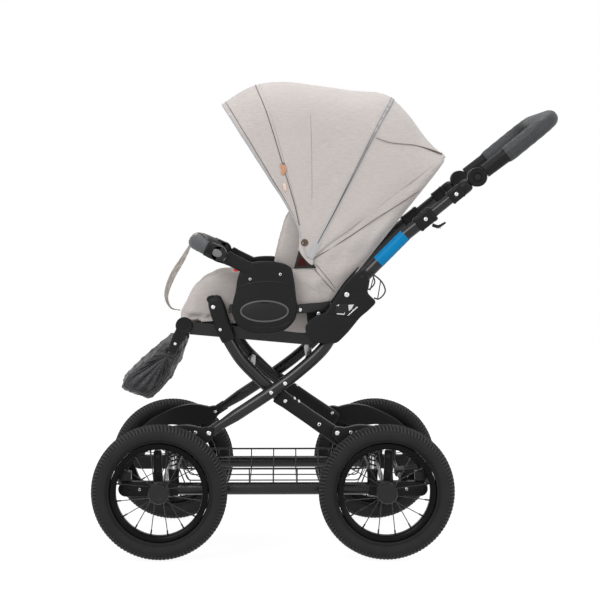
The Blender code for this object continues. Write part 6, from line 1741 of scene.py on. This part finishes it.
class PRAM_OT_soft_goods(PramPiece, bpy.types.Operator):
    """Make the seat and back pads, filled by simulation, the side fabric and the hood"""

    bl_idname = "pram.soft_goods"
    bl_label = "Soft goods"

    def make(self, scene):
        settings = scene.pram_fabric
        for name, parts, body, node in (("seat_pad_look", seat_pad_parts(), "seat", "seat_cushion"),
                                        ("back_pad_look", back_pad_parts(), "backrest", "backrest_cushion")):
            pad = build(name, parts, None, None, (), 180.0)
            inflate(pad, 0.005, settings.pad_pressure, 0.006)
            plan_again(pad)
            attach(pad, body)
            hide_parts(node)
        shell = build("back_shell_look", shell_parts(), "backrest", "seat_cloth", (), 60.0, True)
        gusset = build("gusset_look", gusset_parts(), "backrest", "seat_cloth", (), 60.0)
        rear = build("hood_rear_look", rear_panel_parts(), None, "seat_cloth", ("hood_rear_panel",), 60.0,
                     True)
        front = build("hood_front_look", front_panel_parts(), None, "seat_cloth",
                      ("hood_front_panel",), 60.0, True)
        back, middle, visor = (Vector(hood_place(angle, 0.0, 0.4)) for angle in
                               (HOOD_REAR_ANGLE, HOOD_BOW_ANGLE, HOOD_FRONT_ANGLE))
        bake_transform(rear)
        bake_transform(front)
        tag = build("hood_tag_look", tag_parts(), "hood_mid", "seat_cloth", (), 60.0)
        snap = build("hood_snap_look", snap_parts(), "backrest", "grey_plastic", (), 40.0)
        for place, angle in (("mid", HOOD_BOW_ANGLE), ("front", HOOD_FRONT_ANGLE)):
            build(f"hood_{place}_bow_look", bow_parts(angle), f"hood_{place}", "frame_paint",
                  (f"hood_{place}_bow",))
        flap = build("seat_flap_look", flap_parts(), "seat", "seat_cloth", (), 60.0)
        for node, look in (("seat_frame", "paint"), ("backrest_frame", "plastic")):
            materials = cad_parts[node].data.materials
            materials.clear()
            materials.append(LOOKS[look])


class PRAM_OT_stage(PramPiece, bpy.types.Operator):
    """Make the white ground and background, the soft lights and the camera"""

    bl_idname = "pram.stage"
    bl_label = "Stage"

    def make(self, scene):
        settings = scene.pram_stage
        scene.view_settings.view_transform = "Standard"
        scene.view_settings.look = "None"
        make_world(scene, settings.sky_level)
        make_floor()
        make_lights(scene, settings.key_power)
        data = bpy.data.cameras.new("camera")
        data.lens = settings.focal_length
        data.sensor_width = 36.0
        data.clip_end = 100.0
        camera = bpy.data.objects.new("camera", data)
        camera.location = settings.camera_place
        camera.rotation_euler = (math.pi / 2 - settings.camera_pitch, 0.0, -settings.camera_yaw)
        scene.collection.objects.link(camera)
        scene.camera = camera


OPERATORS = (PRAM_OT_wheels, PRAM_OT_lower_frame, PRAM_OT_cross_frame, PRAM_OT_handle,
             PRAM_OT_seat_unit, PRAM_OT_soft_goods, PRAM_OT_stage)


class PRAM_PT_panel(bpy.types.Panel):
    """The pram's settings and the buttons that make each group of pieces"""

    bl_idname = "PRAM_PT_panel"
    bl_label = "Pram"
    bl_space_type = "VIEW_3D"
    bl_region_type = "UI"
    bl_category = "Pram"

    def draw(self, context):
        for title, group, operators in (("Wheels", "pram_wheels", OPERATORS[:1]),
                                        ("Frame", None, OPERATORS[1:4]),
                                        ("Seat", "pram_fabric", OPERATORS[4:6]),
                                        ("Stage", "pram_stage", OPERATORS[6:])):
            box = self.layout.box()
            box.label(text=title)
            for name in SETTINGS[group].__annotations__ if group else ():
                box.prop(getattr(context.scene, group), name)
            for operator in operators:
                box.operator(operator.bl_idname)


# Stage


def rays_to_white(tree, add):
    """One for rays that should find the pure white backdrop: straight, mirrored and refracted ones."""
    path = tree.nodes.new("ShaderNodeLightPath").outputs
    total = path["Is Camera Ray"]
    for name in ("Is Glossy Ray", "Is Transmission Ray"):
        total = add("Math", {0: total, 1: path[name]}, operation="MAXIMUM")
    return total


def make_world(scene, sky_level):
    """White for the camera and in mirrors, a grey room for the light: brighter above than below."""
    world = bpy.data.worlds.new("room")
    world.use_nodes = True
    tree = world.node_tree
    tree.nodes.clear()
    fill, add = graph(tree)
    split = tree.nodes.new("ShaderNodeSeparateXYZ")
    fill(split, {0: tree.nodes.new("ShaderNodeTexCoord").outputs["Generated"]})
    level = add("MapRange", {"Value": split.outputs["Z"], "From Min": -1.0, "From Max": 1.0,
                             "To Min": 0.4 * sky_level, "To Max": 1.05 * sky_level})
    room, white = (add("Background", {"Color": (1.0, 1.0, 1.0, 1.0), "Strength": strength})
                   for strength in (level, 1.0))
    add("OutputWorld", {"Surface": add("MixShader", {0: rays_to_white(tree, add), 1: room, 2: white})})
    scene.world = world


def make_floor():
    """A wide ground under the wheels: white, but a share of it is plain paint that keeps the shadow."""
    material = bpy.data.materials.new("floor paint")
    material.use_nodes = True
    tree = material.node_tree
    tree.nodes.clear()
    add = graph(tree)[1]
    paint = add("BsdfDiffuse", {"Color": (0.8, 0.8, 0.8, 1.0)})
    glow = add("Emission", {"Color": (1.0, 1.0, 1.0, 1.0), "Strength": 1.08})
    share = add("Math", {0: rays_to_white(tree, add), 1: FLOOR_GLOW}, operation="MULTIPLY")
    add("OutputMaterial", {"Surface": add("MixShader", {0: share, 1: paint, 2: glow})})
    LOOKS["floor"] = material
    corners = [[(x, y, -0.0004) for x in (-6.0, 6.0)] for y in (-6.0, 6.0)]
    build("floor", [grid(corners, "floor", close_v=False, caps=False)], None)


def make_lights(scene, power):
    """Large soft panels: the key high at the camera's left, a weaker fill from the right, one above."""
    for name, place, size, share in (("key", (-2.2, -3.2, 3.2), 2.6, 1.0),
                                     ("fill", (3.0, -2.6, 1.6), 2.4, 0.35),
                                     ("top", (0.2, 0.6, 3.6), 2.6, 0.45)):
        data = bpy.data.lights.new(name, "AREA")
        data.shape = "DISK"
        data.size = size
        data.energy = power * share
        light = bpy.data.objects.new(name, data)
        light.location = place
        direction = Vector((0.0, 0.0, 0.6)) - light.location
        light.rotation_euler = direction.to_track_quat("-Z", "Y").to_euler()
        light.visible_camera = False
        scene.collection.objects.link(light)


CLASSES = (*SETTINGS.values(), *OPERATORS, PRAM_PT_panel)


def register():
    for kind in CLASSES:
        bpy.utils.register_class(kind)
    for name, group in SETTINGS.items():
        setattr(bpy.types.Scene, name, PointerProperty(type=group))


def unregister():
    for name in SETTINGS:
        delattr(bpy.types.Scene, name)
    for kind in reversed(CLASSES):
        bpy.utils.unregister_class(kind)


def main():
    """Makes every group of pieces."""
    register()
    for call in (bpy.ops.pram.wheels, bpy.ops.pram.lower_frame, bpy.ops.pram.cross_frame,
                 bpy.ops.pram.handle, bpy.ops.pram.seat_unit, bpy.ops.pram.soft_goods,
                 bpy.ops.pram.stage):
        call()


if __name__ == "__main__":
    main()
